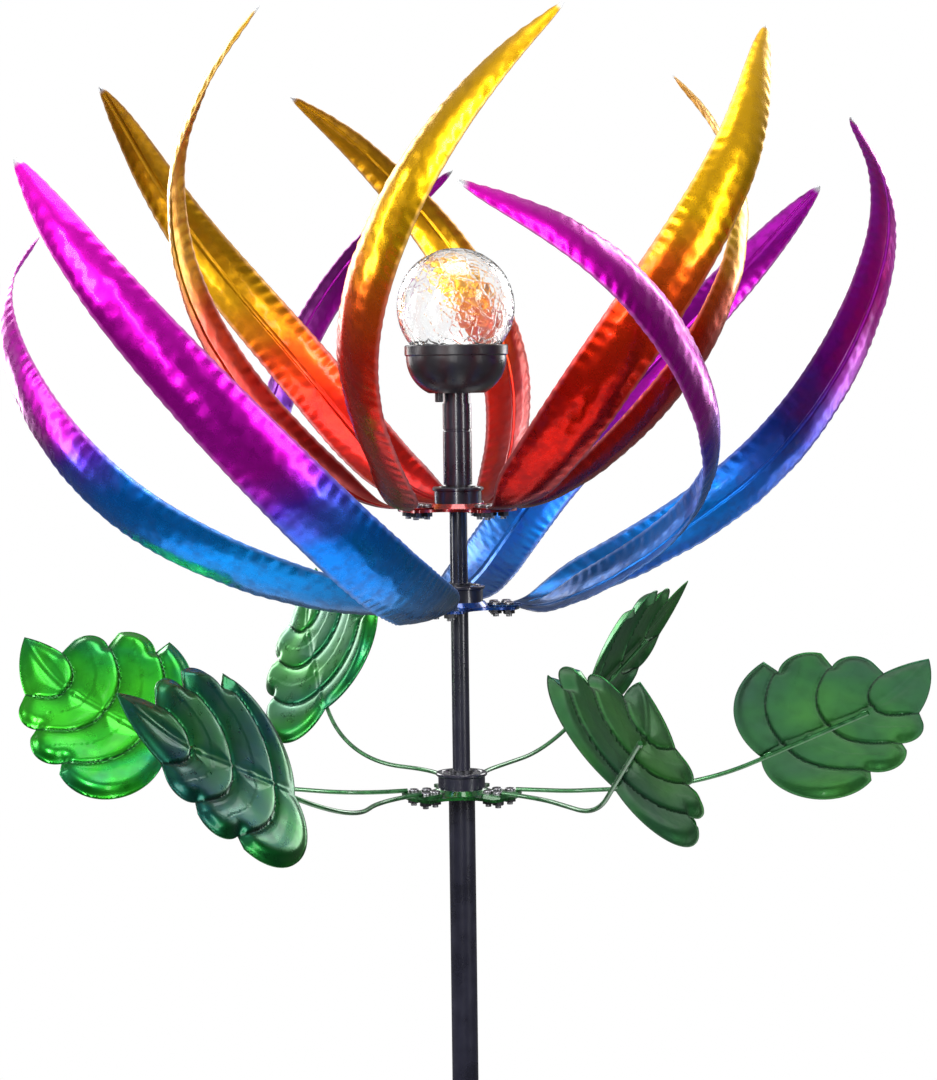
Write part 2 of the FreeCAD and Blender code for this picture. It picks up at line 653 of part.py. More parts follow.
def make_lamp():
    export("lamp_sleeve", lamp_sleeve())
    bush = tube(SLEEVE_BORE_R - FIT, SHAFT_R + FIT, SLEEVE_Z, SLEEVE_Z + CRIMP_Z - 1.2)
    export("lamp_sleeve_bush", bush)
    stem_low = SLEEVE_Z + CRIMP_Z + 1.05
    export("lamp_stem", tube(POLE_R, POLE_R - STEM_TUBE_WALL, stem_low, BOWL_Z + BOWL_WALL - 0.1))
    export("lamp_bowl", raised(lamp_bowl(), BOWL_Z))
    export("glass_globe", glass_globe())
    export("globe_seal", globe_seal())
    panel_low = BOWL_Z + BOWL_STEP_Z
    export("solar_panel", Part.makeCylinder(PANEL_R, PANEL_SHEET, V(0, 0, panel_low)))
    export("led", led())
    export("battery", battery())
    export("switch_body", switch_body())
    export("switch_button", switch_button())


def main():
    os.makedirs("parts", exist_ok=True)
    make_pole()
    export("retaining_rings", retaining_rings())
    export("bearing_inner_rings", bearing_inner_rings())
    petal_clamp = SHEET + PETAL_SHEET
    half_spacing = 30           # a lobe's centre line lies midway between two evenly spaced feet
    upper_lobe = UPPER_FIRST_TIP - TIP_SWEEP + half_spacing
    middle_lobe = MIDDLE_FIRST_TIP + TIP_SWEEP + half_spacing
    make_hub("upper", UPPER_Z, upper_lobe, petal_clamp)
    make_hub("middle", MIDDLE_Z, middle_lobe, petal_clamp)
    make_hub("leaf", LEAF_Z, LEAF_LOBE_AZIMUTH, SHEET + SHEET)
    make_petals("upper", UPPER_Z, UPPER_POLES, UPPER_PITCH, UPPER_WIDTH, UPPER_FIRST_TIP, UPPER_BENDS, 1)
    make_petals("middle", MIDDLE_Z, MIDDLE_POLES, MIDDLE_PITCH, MIDDLE_WIDTH, MIDDLE_FIRST_TIP,
                MIDDLE_BENDS, -1)
    make_leaves()
    make_lamp()


main()
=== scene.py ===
import json
import math

import bmesh
import bpy
import numpy as np
from mathutils import Matrix, Vector, noise
from mathutils.geometry import delaunay_2d_cdt


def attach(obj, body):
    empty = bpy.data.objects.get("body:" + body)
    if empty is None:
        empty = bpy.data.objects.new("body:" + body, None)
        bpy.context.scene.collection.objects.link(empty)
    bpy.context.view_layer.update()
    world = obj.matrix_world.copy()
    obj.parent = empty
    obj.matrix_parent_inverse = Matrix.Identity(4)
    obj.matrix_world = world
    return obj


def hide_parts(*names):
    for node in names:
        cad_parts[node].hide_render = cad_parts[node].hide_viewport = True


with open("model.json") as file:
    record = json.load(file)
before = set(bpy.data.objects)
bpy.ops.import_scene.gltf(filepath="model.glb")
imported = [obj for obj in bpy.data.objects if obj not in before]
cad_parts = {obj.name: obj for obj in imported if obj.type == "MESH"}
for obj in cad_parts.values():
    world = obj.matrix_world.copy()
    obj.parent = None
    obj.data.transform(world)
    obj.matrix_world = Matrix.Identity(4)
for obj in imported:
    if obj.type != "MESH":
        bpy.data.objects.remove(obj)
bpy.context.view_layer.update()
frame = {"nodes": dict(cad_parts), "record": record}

# Looks of the solar lotus wind spinner. Shapes are worked out in millimetres, in the CAD frame, and
# meshes are written in metres. The CAD's sheet petals, leaves and globe are replaced by hammered,
# stamped and crackled ones on the same surfaces; every other node keeps its CAD shape.

NODES = frame["nodes"]
MM = 0.001

# --- camera and surroundings ----------------------------------------------------------------------

CAMERA_AT = (3.0, -1691.2, 1434.8)      # mm
CAMERA_DOWN = 0.0668                    # rad
CAMERA_YAW = 0.0022
CAMERA_ROLL = -0.0125
CAMERA_LENS = 83.15
FLOOR_Z = -0.2215
FLOOR_R = 1.45


def make_camera():
    data = bpy.data.cameras.new("camera")
    data.lens = CAMERA_LENS
    data.sensor_width = 36.0
    data.clip_end = 50.0
    camera = bpy.data.objects.new("camera", data)
    bpy.context.scene.collection.objects.link(camera)
    aim = Matrix.Rotation(CAMERA_DOWN, 4, "X") @ Matrix.Rotation(CAMERA_YAW, 4, "Z")
    camera.matrix_world = (
        Matrix.Translation(Vector(CAMERA_AT) * MM) @ aim.inverted()
        @ Matrix.Rotation(math.pi / 2, 4, "X") @ Matrix.Rotation(CAMERA_ROLL, 4, "Z")
    )
    bpy.context.scene.camera = camera


class Graph:
    """A material's node tree with a Principled shader."""

    def __init__(self, name, **values):
        self.material = bpy.data.materials.new(name)
        self.material.use_nodes = True
        self.tree = self.material.node_tree
        self.tree.nodes.clear()
        self.out = self.node("ShaderNodeOutputMaterial")
        self.shader = self.node("ShaderNodeBsdfPrincipled")
        self.tree.links.new(self.shader.outputs[0], self.out.inputs[0])
        self.set(self.shader, values)

    def set(self, node, values):
        for key, value in values.items():
            socket = node.inputs[key if isinstance(key, int) else key.replace("_", " ")]
            if isinstance(value, bpy.types.NodeSocket):
                self.tree.links.new(value, socket)
            elif isinstance(value, bpy.types.Node):
                self.tree.links.new(value.outputs[0], socket)
            elif socket.type == "RGBA" and len(value) == 3:
                socket.default_value = (*value, 1.0)
            else:
                socket.default_value = value

    def node(self, kind, props=None, **values):
        node = self.tree.nodes.new(kind)
        for key, value in (props or {}).items():
            setattr(node, key, value)
        self.set(node, values)
        return node

    def math(self, operation, a, b=0.0):
        node = self.node("ShaderNodeMath", {"operation": operation})
        self.set(node, {0: a, 1: b})
        return node.outputs[0]

    def attribute(self, name):
        return self.node("ShaderNodeAttribute", {"attribute_name": name}).outputs["Vector"]

    def position(self, scale=1.0):
        coordinates = self.node("ShaderNodeTexCoord").outputs["Object"]
        if scale == 1.0:
            return coordinates
        node = self.node("ShaderNodeVectorMath", {"operation": "SCALE"})
        self.set(node, {0: coordinates, "Scale": scale})
        return node.outputs[0]

    def noise(self, vector, scale, detail=2.0, roughness=0.5, distortion=0.0):
        node = self.node("ShaderNodeTexNoise", Vector=vector, Scale=scale, Detail=detail,
                         Roughness=roughness, Distortion=distortion)
        return node.outputs["Fac"]

    def ramp(self, value, stops):
        node = self.node("ShaderNodeValToRGB", Fac=value)
        ramp = node.color_ramp
        while len(ramp.elements) < len(stops):
            ramp.elements.new(0.5)
        for element, (place, colour) in zip(ramp.elements, stops):
            element.position = place
            element.color = (*colour, 1.0)
        return node.outputs["Color"]

    def mix(self, factor, a, b):
        node = self.node("ShaderNodeMix", {"data_type": "RGBA"})
        self.set(node, {0: factor, 6: a, 7: b})
        return node.outputs[2]

    def range(self, value, low, high, out_low, out_high):
        node = self.node("ShaderNodeMapRange", {"interpolation_type": "SMOOTHSTEP"})
        self.set(node, {0: value, 1: low, 2: high, 3: out_low, 4: out_high})
        return node.outputs[0]

    def bump(self, height, distance, strength=1.0, under=None):
        node = self.node("ShaderNodeBump", Height=height, Distance=distance, Strength=strength)
        if under is not None:
            self.set(node, {"Normal": under})
        return node.outputs[0]


def srgb(r, g, b):
    """Linear colour from 0-255 display values."""
    return tuple(
        c / 255 / 12.92 if c < 11 else ((c / 255 + 0.055) / 1.055) ** 2.4
        for c in (r, g, b)
    )


# --- materials ------------------------------------------------------------------------------------

def petal_paint(name, outer_stops, inner_stops):
    """Candy lacquer over hammered metal: changing along the petal, deeper on the inner face."""
    g = Graph(name, Metallic=0.94, IOR=1.5, Coat_Weight=0.10, Coat_Roughness=0.08, Coat_IOR=1.5)
    place = g.node("ShaderNodeSeparateXYZ", Vector=g.attribute("place"))
    along, across, inner = place.outputs[0], place.outputs[1], place.outputs[2]
    sheet = g.attribute("sheet")
    drift = g.math("MULTIPLY", g.math("SUBTRACT", g.noise(sheet, 28.0, 3.0), 0.5), 0.11)
    slant = g.math("MULTIPLY", across, 0.018)
    spot = g.math("ADD", g.math("ADD", along, drift), slant)
    colour = g.mix(inner, g.ramp(spot, outer_stops), g.ramp(spot, inner_stops))
    mottle = g.noise(sheet, 120.0, 4.0, 0.6)
    colour = g.mix(g.range(mottle, 0.42, 0.72, 0.0, 0.32), colour, (0.02, 0.0, 0.005))
    # Painted highlight: the blade's edges are mixed towards silver grey for the sheen that catches on
    # them. The same edge mask also makes the edges rougher.
    edge = g.range(g.math("ABSOLUTE", across), 0.86, 1.0, 0.0, 1.0)
    colour = g.mix(g.math("MULTIPLY", edge, 0.28), colour, (0.30, 0.29, 0.30))
    tip = g.range(along, 0.986, 0.996, 0.0, 1.0)
    colour = g.mix(tip, colour, (0.55, 0.56, 0.58))
    rough = g.range(mottle, 0.35, 0.7, 0.24, 0.34)
    rough = g.math("ADD", rough, g.math("MULTIPLY", inner, 0.06))
    rough = g.math("ADD", rough, g.math("MULTIPLY", edge, 0.28))
    rough = g.math("ADD", rough, g.range(along, 0.86, 1.0, 0.0, 0.16))
    fine = g.bump(g.noise(sheet, 420.0, 2.0), 0.00004, 0.3)
    dents = g.bump(g.noise(sheet, 150.0, 2.0), 0.0004, 0.18, fine)
    g.set(g.shader, {"Base Color": colour, "Roughness": rough, "Normal": dents})
    return g.material


def plate_paint(name, light, dark):
    """Mottled candy lacquer on the arm plates."""
    g = Graph(name, Metallic=0.8, Coat_Weight=0.8, Coat_Roughness=0.1)
    p = g.position()
    mottle = g.noise(p, 160.0, 4.0, 0.6)
    g.set(g.shader, {
        "Base Color": g.ramp(mottle, [(0.3, dark), (0.7, light)]),
        "Roughness": g.range(mottle, 0.3, 0.7, 0.24, 0.4),
        "Normal": g.bump(g.noise(p, 700.0, 3.0), 0.0001, 0.5),
    })
    return g.material


def leaf_paint(name):
    """Front: glossy candy green with teal pools. Back: duller, greyer green. The vein grooves are
    darkened as painted shade.
    """
    g = Graph(name, Metallic=0.85, IOR=1.5, Coat_Weight=0.14, Coat_Roughness=0.08)
    p = g.position()
    place = g.node("ShaderNodeSeparateXYZ", Vector=g.attribute("place"))
    panel, tone, back = place.outputs[0], place.outputs[1], place.outputs[2]
    broad = g.noise(p, 14.0, 3.0, 0.55, 0.4)
    deep = g.ramp(broad, [(0.34, (0.001, 0.045, 0.040)), (0.50, (0.001, 0.075, 0.018)),
                          (0.70, (0.003, 0.14, 0.006))])
    bright = g.ramp(broad, [(0.34, (0.002, 0.15, 0.03)), (0.46, (0.004, 0.22, 0.003)),
                            (0.70, (0.03, 0.36, 0.002))])
    front = g.mix(tone, deep, bright)
    under = g.ramp(broad, [(0.30, (0.022, 0.090, 0.045)), (0.5, (0.022, 0.125, 0.034)),
                           (0.72, (0.040, 0.19, 0.030))])
    colour = g.mix(back, front, under)
    # Painted shade: the colour falls to near-black green in the vein grooves, where the panel mask
    # drops to zero.
    colour = g.mix(g.range(panel, 0.0, 0.7, 0.85, 0.0), colour, (0.001, 0.012, 0.006))
    mottle = g.noise(p, 110.0, 2.0, 0.5)
    colour = g.mix(g.range(mottle, 0.45, 0.8, 0.0, 0.12), colour, (0.0, 0.02, 0.009))
    rough = g.math("ADD", g.range(mottle, 0.3, 0.7, 0.26, 0.36), g.math("MULTIPLY", back, 0.12))
    g.set(g.shader, {
        "Base Color": colour, "Roughness": rough,
        "Normal": g.bump(g.noise(p, 120.0, 1.0), 0.0002, 0.15),
    })
    return g.material


def stem_paint(name):
    g = Graph(name, Metallic=0.65, Coat_Weight=0.7, Coat_Roughness=0.15)
    p = g.position()
    mottle = g.noise(p, 130.0, 4.0, 0.6)
    g.set(g.shader, {
        "Base Color": g.ramp(mottle, [(0.3, (0.01, 0.075, 0.02)), (0.7, (0.04, 0.19, 0.055))]),
        "Roughness": g.range(mottle, 0.3, 0.7, 0.3, 0.45),
        "Normal": g.bump(g.noise(p, 900.0, 3.0), 0.0001, 0.5),
    })
    return g.material


def powder_coat(name):
    """Glossy blue-black powder coat: orange peel, and faint wear in the colour."""
    g = Graph(name, IOR=1.5, Coat_Weight=0.5, Coat_Roughness=0.10)
    p = g.position()
    wear = g.noise(p, 45.0, 5.0, 0.65)
    dark, light = (0.0050, 0.0050, 0.0115), (0.0120, 0.0120, 0.0276)
    peel = g.bump(g.noise(p, 700.0, 2.0), 0.00006, 0.3)
    g.set(g.shader, {
        "Base Color": g.ramp(wear, [(0.35, dark), (0.8, light)]),
        "Roughness": g.range(wear, 0.3, 0.75, 0.24, 0.38),
        "Normal": peel,
    })
    return g.material


def moulded_plastic(name):
    g = Graph(name, IOR=1.47, Coat_Weight=0.15, Coat_Roughness=0.3)
    p = g.position()
    flow = g.noise(p, 60.0, 4.0)
    g.set(g.shader, {
        "Base Color": g.ramp(flow, [(0.3, (0.008, 0.008, 0.011)), (0.8, (0.02, 0.02, 0.025))]),
        "Roughness": g.range(flow, 0.3, 0.7, 0.26, 0.38),
        "Normal": g.bump(g.noise(p, 2200.0, 3.0), 0.00005, 0.6),
    })
    return g.material


def bare_metal(name, light, dark, rough):
    """Plated or blackened steel, with a fine grain and broader stains."""
    g = Graph(name, Metallic=1.0)
    p = g.position()
    grain = g.noise(p, 300.0, 5.0, 0.65)
    stain = g.noise(p, 60.0, 3.0)
    clean = g.ramp(grain, [(0.3, dark), (0.7, light)])
    g.set(g.shader, {
        "Base Color": g.mix(g.range(stain, 0.4, 0.75, 0.0, 0.6), clean, dark),
        "Roughness": g.range(grain, 0.3, 0.7, rough, rough + 0.16),
        "Normal": g.bump(grain, 0.00008, 0.4),
    })
    return g.material


def crackle_glass(name):
    """Clear glass with faint smears. Its cracks are in the mesh."""
    g = Graph(name, Transmission_Weight=1.0, IOR=1.46, Base_Color=(0.985, 0.99, 0.99))
    p = g.position()
    smear = g.noise(p, 90.0, 3.0)
    g.set(g.shader, {
        "Roughness": g.range(smear, 0.45, 0.8, 0.0, 0.06),
        "Normal": g.bump(smear, 0.0003, 0.12),
    })
    return g.material


def solar_cell(name):
    """Blue crystals behind silver fingers and bars, spaced in millimetres."""
    g = Graph(name, IOR=1.6, Coat_Weight=1.0, Coat_Roughness=0.04)
    p = g.position(1000.0)
    axes = g.node("ShaderNodeSeparateXYZ", Vector=p)
    bars = g.math("PINGPONG", axes.outputs[0], 6.5)
    fingers = g.math("PINGPONG", axes.outputs[1], 1.1)
    line = g.math("MAXIMUM", g.math("LESS_THAN", bars, 0.45), g.math("LESS_THAN", fingers, 0.12))
    crystal = g.ramp(g.noise(p, 0.35, 3.0), [(0.3, (0.012, 0.018, 0.06)), (0.7, (0.03, 0.045, 0.13))])
    g.set(g.shader, {
        "Base Color": g.mix(line, crystal, (0.55, 0.56, 0.6)),
        "Roughness": g.range(line, 0.0, 1.0, 0.2, 0.42),
        "Metallic": g.math("MULTIPLY", line, 0.8),
    })
    return g.material


def rubber(name):
    g = Graph(name, IOR=1.45)
    p = g.position()
    grain = g.noise(p, 600.0, 4.0)
    g.set(g.shader, {
        "Base Color": g.ramp(grain, [(0.3, (0.01, 0.01, 0.01)), (0.8, (0.03, 0.03, 0.03))]),
        "Roughness": g.range(grain, 0.3, 0.7, 0.6, 0.8),
        "Normal": g.bump(grain, 0.0001, 0.5),
    })
    return g.material


def lens(name):
    g = Graph(name, Transmission_Weight=0.7, IOR=1.5, Base_Color=(0.95, 0.93, 0.8))
    haze = g.noise(g.position(), 500.0, 3.0)
    g.set(g.shader, {"Roughness": g.range(haze, 0.3, 0.7, 0.08, 0.25)})
    return g.material


def battery_wrap(name):
    g = Graph(name, Coat_Weight=0.6, Coat_Roughness=0.1)
    p = g.position()
    film = g.noise(p, 200.0, 3.0)
    g.set(g.shader, {
        "Base Color": g.ramp(film, [(0.3, (0.02, 0.16, 0.05)), (0.7, (0.03, 0.22, 0.07))]),
        "Roughness": g.range(film, 0.3, 0.7, 0.25, 0.4),
    })
    return g.material


GOLD = srgb(228, 170, 8)
OCHRE = srgb(208, 150, 14)
ORANGE = srgb(232, 98, 18)
RED = srgb(216, 20, 3)
DARK_RED = srgb(120, 12, 14)
MAGENTA = srgb(202, 3, 168)
PURPLE = srgb(124, 16, 160)
BLUE = srgb(0, 132, 220)
TEAL_BLUE = srgb(10, 92, 150)

MATERIALS = {
    "black_metal": powder_coat("black_powder_coat"),
    "black_plastic": moulded_plastic("black_moulded_plastic"),
    "upper_petal_paint": petal_paint(
        "fire_petal_paint",
        [(0.0, DARK_RED), (0.10, srgb(168, 16, 10)), (0.30, RED), (0.42, srgb(220, 46, 8)),
         (0.51, ORANGE), (0.60, GOLD), (1.0, srgb(214, 164, 18))],
        [(0.0, DARK_RED), (0.12, srgb(132, 10, 6)), (0.32, srgb(176, 20, 3)),
         (0.44, srgb(184, 56, 6)), (0.56, OCHRE), (1.0, srgb(178, 122, 10))],
    ),
    "middle_petal_paint": petal_paint(
        "dusk_petal_paint",
        [(0.0, srgb(20, 60, 100)), (0.10, TEAL_BLUE), (0.26, BLUE), (0.43, srgb(8, 116, 224)),
         (0.49, srgb(84, 44, 196)), (0.55, srgb(182, 8, 172)), (1.0, MAGENTA)],
        [(0.0, srgb(20, 60, 100)), (0.12, srgb(12, 84, 150)), (0.30, srgb(2, 112, 206)),
         (0.44, srgb(40, 70, 190)), (0.54, PURPLE), (0.64, srgb(160, 10, 160)),
         (1.0, srgb(170, 16, 170))],
    ),
    "leaf_paint": leaf_paint("leaf_green_paint"),
    "upper_plate_paint": plate_paint("red_plate_paint", srgb(160, 18, 12), srgb(84, 6, 8)),
    "middle_plate_paint": plate_paint("blue_plate_paint", srgb(8, 66, 146), srgb(6, 30, 80)),
    "zinc": bare_metal("zinc_plate", (0.30, 0.30, 0.31), (0.16, 0.16, 0.17), 0.26),
    "black_steel": bare_metal("blackened_steel", (0.10, 0.10, 0.11), (0.035, 0.035, 0.04), 0.34),
    "bearing_steel": bare_metal("bearing_steel", (0.58, 0.58, 0.60), (0.40, 0.40, 0.42), 0.16),
    "glass": crackle_glass("crackle_glass"),
    "seal_rubber": rubber("seal_rubber"),
    "solar_cell": solar_cell("solar_cell"),
    "led_lens": lens("led_lens"),
    "battery_wrap": battery_wrap("battery_wrap"),
}
STEM_PAINT = stem_paint("stem_green_paint")
LEAF_PLATE_PAINT = plate_paint("green_plate_paint", srgb(20, 104, 34), srgb(8, 50, 18))


def dress_cad_nodes():
    slots = {part["node"]: part["material_slot"] for part in frame["record"]["subparts"]}
    for name, node in NODES.items():
        material = MATERIALS[slots[name]]
        if name.startswith("leaf_stem"):
            material = STEM_PAINT
        if name == "leaf_arm_plate":
            material = LEAF_PLATE_PAINT
        node.data.materials.clear()
        node.data.materials.append(material)


# --- mesh helpers ---------------------------------------------------------------------------------

def add_piece(name, vertices, faces, body, slot, nodes=(), place=None, sheet=None, material=None):
    """A mesh object from millimetre vertices, riding on a body and standing for CAD nodes."""
    mesh = bpy.data.meshes.new(name)
    mesh.from_pydata((np.asarray(vertices) * MM).tolist(), [], [list(map(int, f)) for f in faces])
    mesh.validate()
    for label, values in (("place", place), ("sheet", sheet)):
        if values is not None:
            attribute = mesh.attributes.new(label, "FLOAT_VECTOR", "POINT")
            attribute.data.foreach_set("vector", np.asarray(values, np.float32).ravel())
    tidy = bmesh.new()
    tidy.from_mesh(mesh)
    bmesh.ops.recalc_face_normals(tidy, faces=tidy.faces)
    tidy.to_mesh(mesh)
    tidy.free()
    mesh.polygons.foreach_set("use_smooth", np.ones(len(mesh.polygons), bool))
    mesh.update()
    piece = bpy.data.objects.new(name, mesh)
    bpy.context.scene.collection.objects.link(piece)
    mesh.materials.append(material or MATERIALS[slot])
    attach(piece, body)
    if nodes:
        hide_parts(*nodes)
    return piece


def loft_faces(rings, columns, first=0):
    """Quads round closed rings of equal length."""
    faces = []
    for i in range(rings - 1):
        a, b = first + i * columns, first + (i + 1) * columns
        for j in range(columns):
            k = (j + 1) % columns
            faces.append((a + j, a + k, b + k, b + j))
    return faces


def smooth_step(value):
    x = np.clip(value, 0.0, 1.0)
    return x * x * (3 - 2 * x)


class Hammer:
    """Seeded patterns on a flat sheet, in millimetres."""

    SIZE = 64

    def __init__(self, seed):
        self.table = np.random.RandomState(seed).random_sample((self.SIZE, self.SIZE, 3))

    def waves(self, s, x, size):
        """Smooth noise from -1 to 1."""
        u, v = s / size + 31.3, x / size + 17.7
        i, j = np.floor(u).astype(int), np.floor(v).astype(int)
        a, b = smooth_step(u - i), smooth_step(v - j)

        def pick(p, q):
            return self.table[p % self.SIZE, q % self.SIZE, 2]
        low = pick(i, j) * (1 - a) + pick(i + 1, j) * a
        high = pick(i, j + 1) * (1 - a) + pick(i + 1, j + 1) * a
        return (low * (1 - b) + high * b) * 2 - 1

    def dents(self, s, x, size):
        """Round hammer marks from 0 to 1, deepest in their middles."""
        u, v = s / size, x / size
        i, j = np.floor(u).astype(int), np.floor(v).astype(int)
        nearest = np.full(u.shape, 9.0)
        for p in (-1, 0, 1):
            for q in (-1, 0, 1):
                cell = self.table[(i + p) % self.SIZE, (j + q) % self.SIZE]
                middle_u = i + p + 0.2 + 0.6 * cell[..., 0]
                middle_v = j + q + 0.2 + 0.6 * cell[..., 1]
                gap = np.hypot(u - middle_u, v - middle_v)
                nearest = np.minimum(nearest, gap)
        return smooth_step(1 - nearest / 0.72)


def rotate(vectors, axis, degrees):
    """Vectors turned about one of the frame's axes."""
    a = math.radians(degrees)
    c, s = math.cos(a), math.sin(a)
    x, y, z = np.moveaxis(np.asarray(vectors, float), -1, 0)
    turned = {
        "X": (x, c * y - s * z, s * y + c * z),
        "Y": (c * x + s * z, y, c * z - s * x),
        "Z": (c * x - s * y, s * x + c * y, z),
    }[axis]
    return np.stack(turned, -1)


def polar(radius, azimuth, height=0.0):
    a = math.radians(azimuth)
    return np.array((radius * math.cos(a), radius * math.sin(a), height))


# --- petals: the CAD's formulas -------------------------------------------------------------------

UPPER_Z, MIDDLE_Z, LEAF_Z = 1342.0, 1275.0, 1147.0
PLATE_R = 41.0
PLATE_SHEET = 2.0
PETAL_SHEET = 0.8
PETAL_START_R = 52.0
PETAL_CUP = 6.0
PETAL_TIP_WIDTH = 2.4
PETAL_WIDTH = 46.0
FOOT_SHIFT = 16.0
FOOT_WIDTH = 14.0
FOOT_END_R = 4.8
FOOT_HOLES = (25.0, 34.0)
FOOT_HOLE_R = 2.15
LEAN_CENTRE = np.array((0.0, 0.0, 220.0))
TIP_SWEEP = 65.0
PETAL_ROTORS = {
    "upper": dict(
        base=UPPER_Z, sense=1, first=-6.0, pitch=(0, -42, -42, -32),
        poles=[(72, 13, 4), (176, 17, 94), (242, 38, 222), (228, 55, 290), (230, 62, 308)],
        bends=[(2, -2, 3), (-8, -2, 0), (5, -4, -3), (-4, 2, -3), (6, -2, 1), (-4, 1, 0)],
    ),
    "middle": dict(
        base=MIDDLE_Z, sense=-1, first=30.0, pitch=(0, -74, -14, -42),
        poles=[(74, 13, 2), (250, 16, 70), (338, 47, 246), (322, 59, 288), (324, 63, 302)],
        bends=[(0, 3, 0), (4, 0, 4), (-2, -1, -7), (-2, 11, 2), (-9, -9, -9), (8, -5, 0)],
    ),
}
PETAL_SEEDS = {"upper": 11, "middle": 31}
STATION = 1.9         # spacing of a petal's rings
TIP_LENGTH = 4.0                        # where the rings stand closer
TIP_RINGS = 7
TIP_ROUND = 2.5                         # length of the rounded end
EDGE_STEP = 0.35                        # the edge's ridge stands this far beyond both faces
LEAST_HALF = 0.05
BEAD_HEIGHT = 1.1                       # of the pressed midrib, on the inner face
BEAD_HALF = 1.5
SCALLOP, SCALLOP_PITCH = 0.012, 8.5     # the blade's edge wavers by this share of its half width
FOOT_PLAIN, FOOT_FADE = 22, 40          # hammer work starts and how soon it is at its full depth
TIP_FADE = 18                           # length over which it ends
RIPPLE_DEPTH, RIPPLE_PITCH = 0.42, 9.5  # slanting ripples along the edges
RIPPLE_FROM, RIPPLE_FADE = 0.45, 0.5    # as shares of the half width
RIPPLE_SLANT, RIPPLE_WANDER, WANDER_SIZE = 5.5, 2.5, 26.0
DENT_DEPTH, DENT_SIZE = 0.28, 10.5      # hammer marks
SWELL_DEPTH, SWELL_SIZE = 0.9, 24.0     # broad unevenness
RIB_COLUMNS = (0.0, 0.5, 1.0, 1.35, 1.7, 2.3)
BLADE_COLUMNS = 13


def basis(knots, degree, t):
    """Every B-spline basis function of that degree at each t."""
    rows = ((knots[:-1] <= t[:, None]) & (t[:, None] < knots[1:])).astype(float)
    rows[t >= knots[-1], np.nonzero(np.diff(knots))[0][-1]] = 1.0
    for d in range(1, degree + 1):
        left = knots[d:-1] - knots[:-d - 1]
        right = knots[d + 1:] - knots[1:-d]
        rise = np.where(left > 0, (t[:, None] - knots[:-d - 1]) / np.where(left > 0, left, 1), 0)
        fall = np.where(right > 0, (knots[d + 1:] - t[:, None]) / np.where(right > 0, right, 1), 0)
        rows = rise * rows[:, :-1] + fall * rows[:, 1:]
    return rows


def spline(poles, t):
    """Points and unit tangents of a clamped cubic B-spline with evenly spaced inner knots."""
    poles = np.asarray(poles)
    knots = np.concatenate([[0.0] * 3, np.linspace(0, 1, len(poles) - 2), [1.0] * 3])
    spans = knots[4:-1] - knots[1:-4]
    slopes = 3 * np.diff(poles, axis=0) / spans[:, None]
    tangents = basis(knots[1:-1], 2, t) @ slopes
    return basis(knots, 3, t) @ poles, tangents / np.linalg.norm(tangents, axis=1)[:, None]


def petal_frames(rotor, foot_side, bend, t):
    """Centre, outward and across directions and width at each t, in the petal's own frame."""
    height = PLATE_SHEET + PETAL_SHEET / 2
    foot = foot_side * FOOT_SHIFT
    root = polar(PETAL_START_R, foot, height)
    turn, lean, side = bend
    poles = [polar(PLATE_R, foot, height), root]
    for r, sweep, z in rotor["poles"]:
        arm = rotate(rotate(polar(r, sweep, z) - root, "Y", lean), "X", side)
        poles.append(root + rotate(arm, "Z", turn))
    centre, along = spline(poles, t)
    outward = centre - LEAN_CENTRE
    outward = outward - along * np.sum(outward * along, axis=1)[:, None]
    outward = outward / np.linalg.norm(outward, axis=1)[:, None]
    a, b, c, d = rotor["pitch"]
    s = 1 - t
    pitch = np.radians(a * s ** 3 + 3 * b * s * s * t + 3 * c * s * t * t + d * t ** 3)[:, None]
    outward = outward * np.cos(pitch) + np.cross(along, outward) * np.sin(pitch)
    across = np.cross(outward, along)
    blend = smooth_step(t / 0.25)
    swell = np.sin(np.pi * np.clip(t, 0, 1) ** 0.85).clip(0) ** 0.62
    width = np.maximum(FOOT_WIDTH * (1 - blend) + PETAL_WIDTH * swell * blend, PETAL_TIP_WIDTH)
    return centre, outward, across, width


def petal_stations(rotor, foot_side, bend):
    """Values of t at even steps along the blade, closer together at the round tip."""
    fine = np.linspace(0, 1, 1501)
    centre = petal_frames(rotor, foot_side, bend, fine)[0]
    run = np.concatenate([[0], np.cumsum(np.linalg.norm(np.diff(centre, axis=0), axis=1))])
    length = run[-1]
    even = np.linspace(0, length - TIP_LENGTH, int(length / STATION))
    tip = length - TIP_LENGTH + TIP_LENGTH * np.sin(np.linspace(0.2, np.pi / 2, TIP_RINGS))
    s = np.concatenate([even, tip])
    return np.interp(s, run, fine), s, length


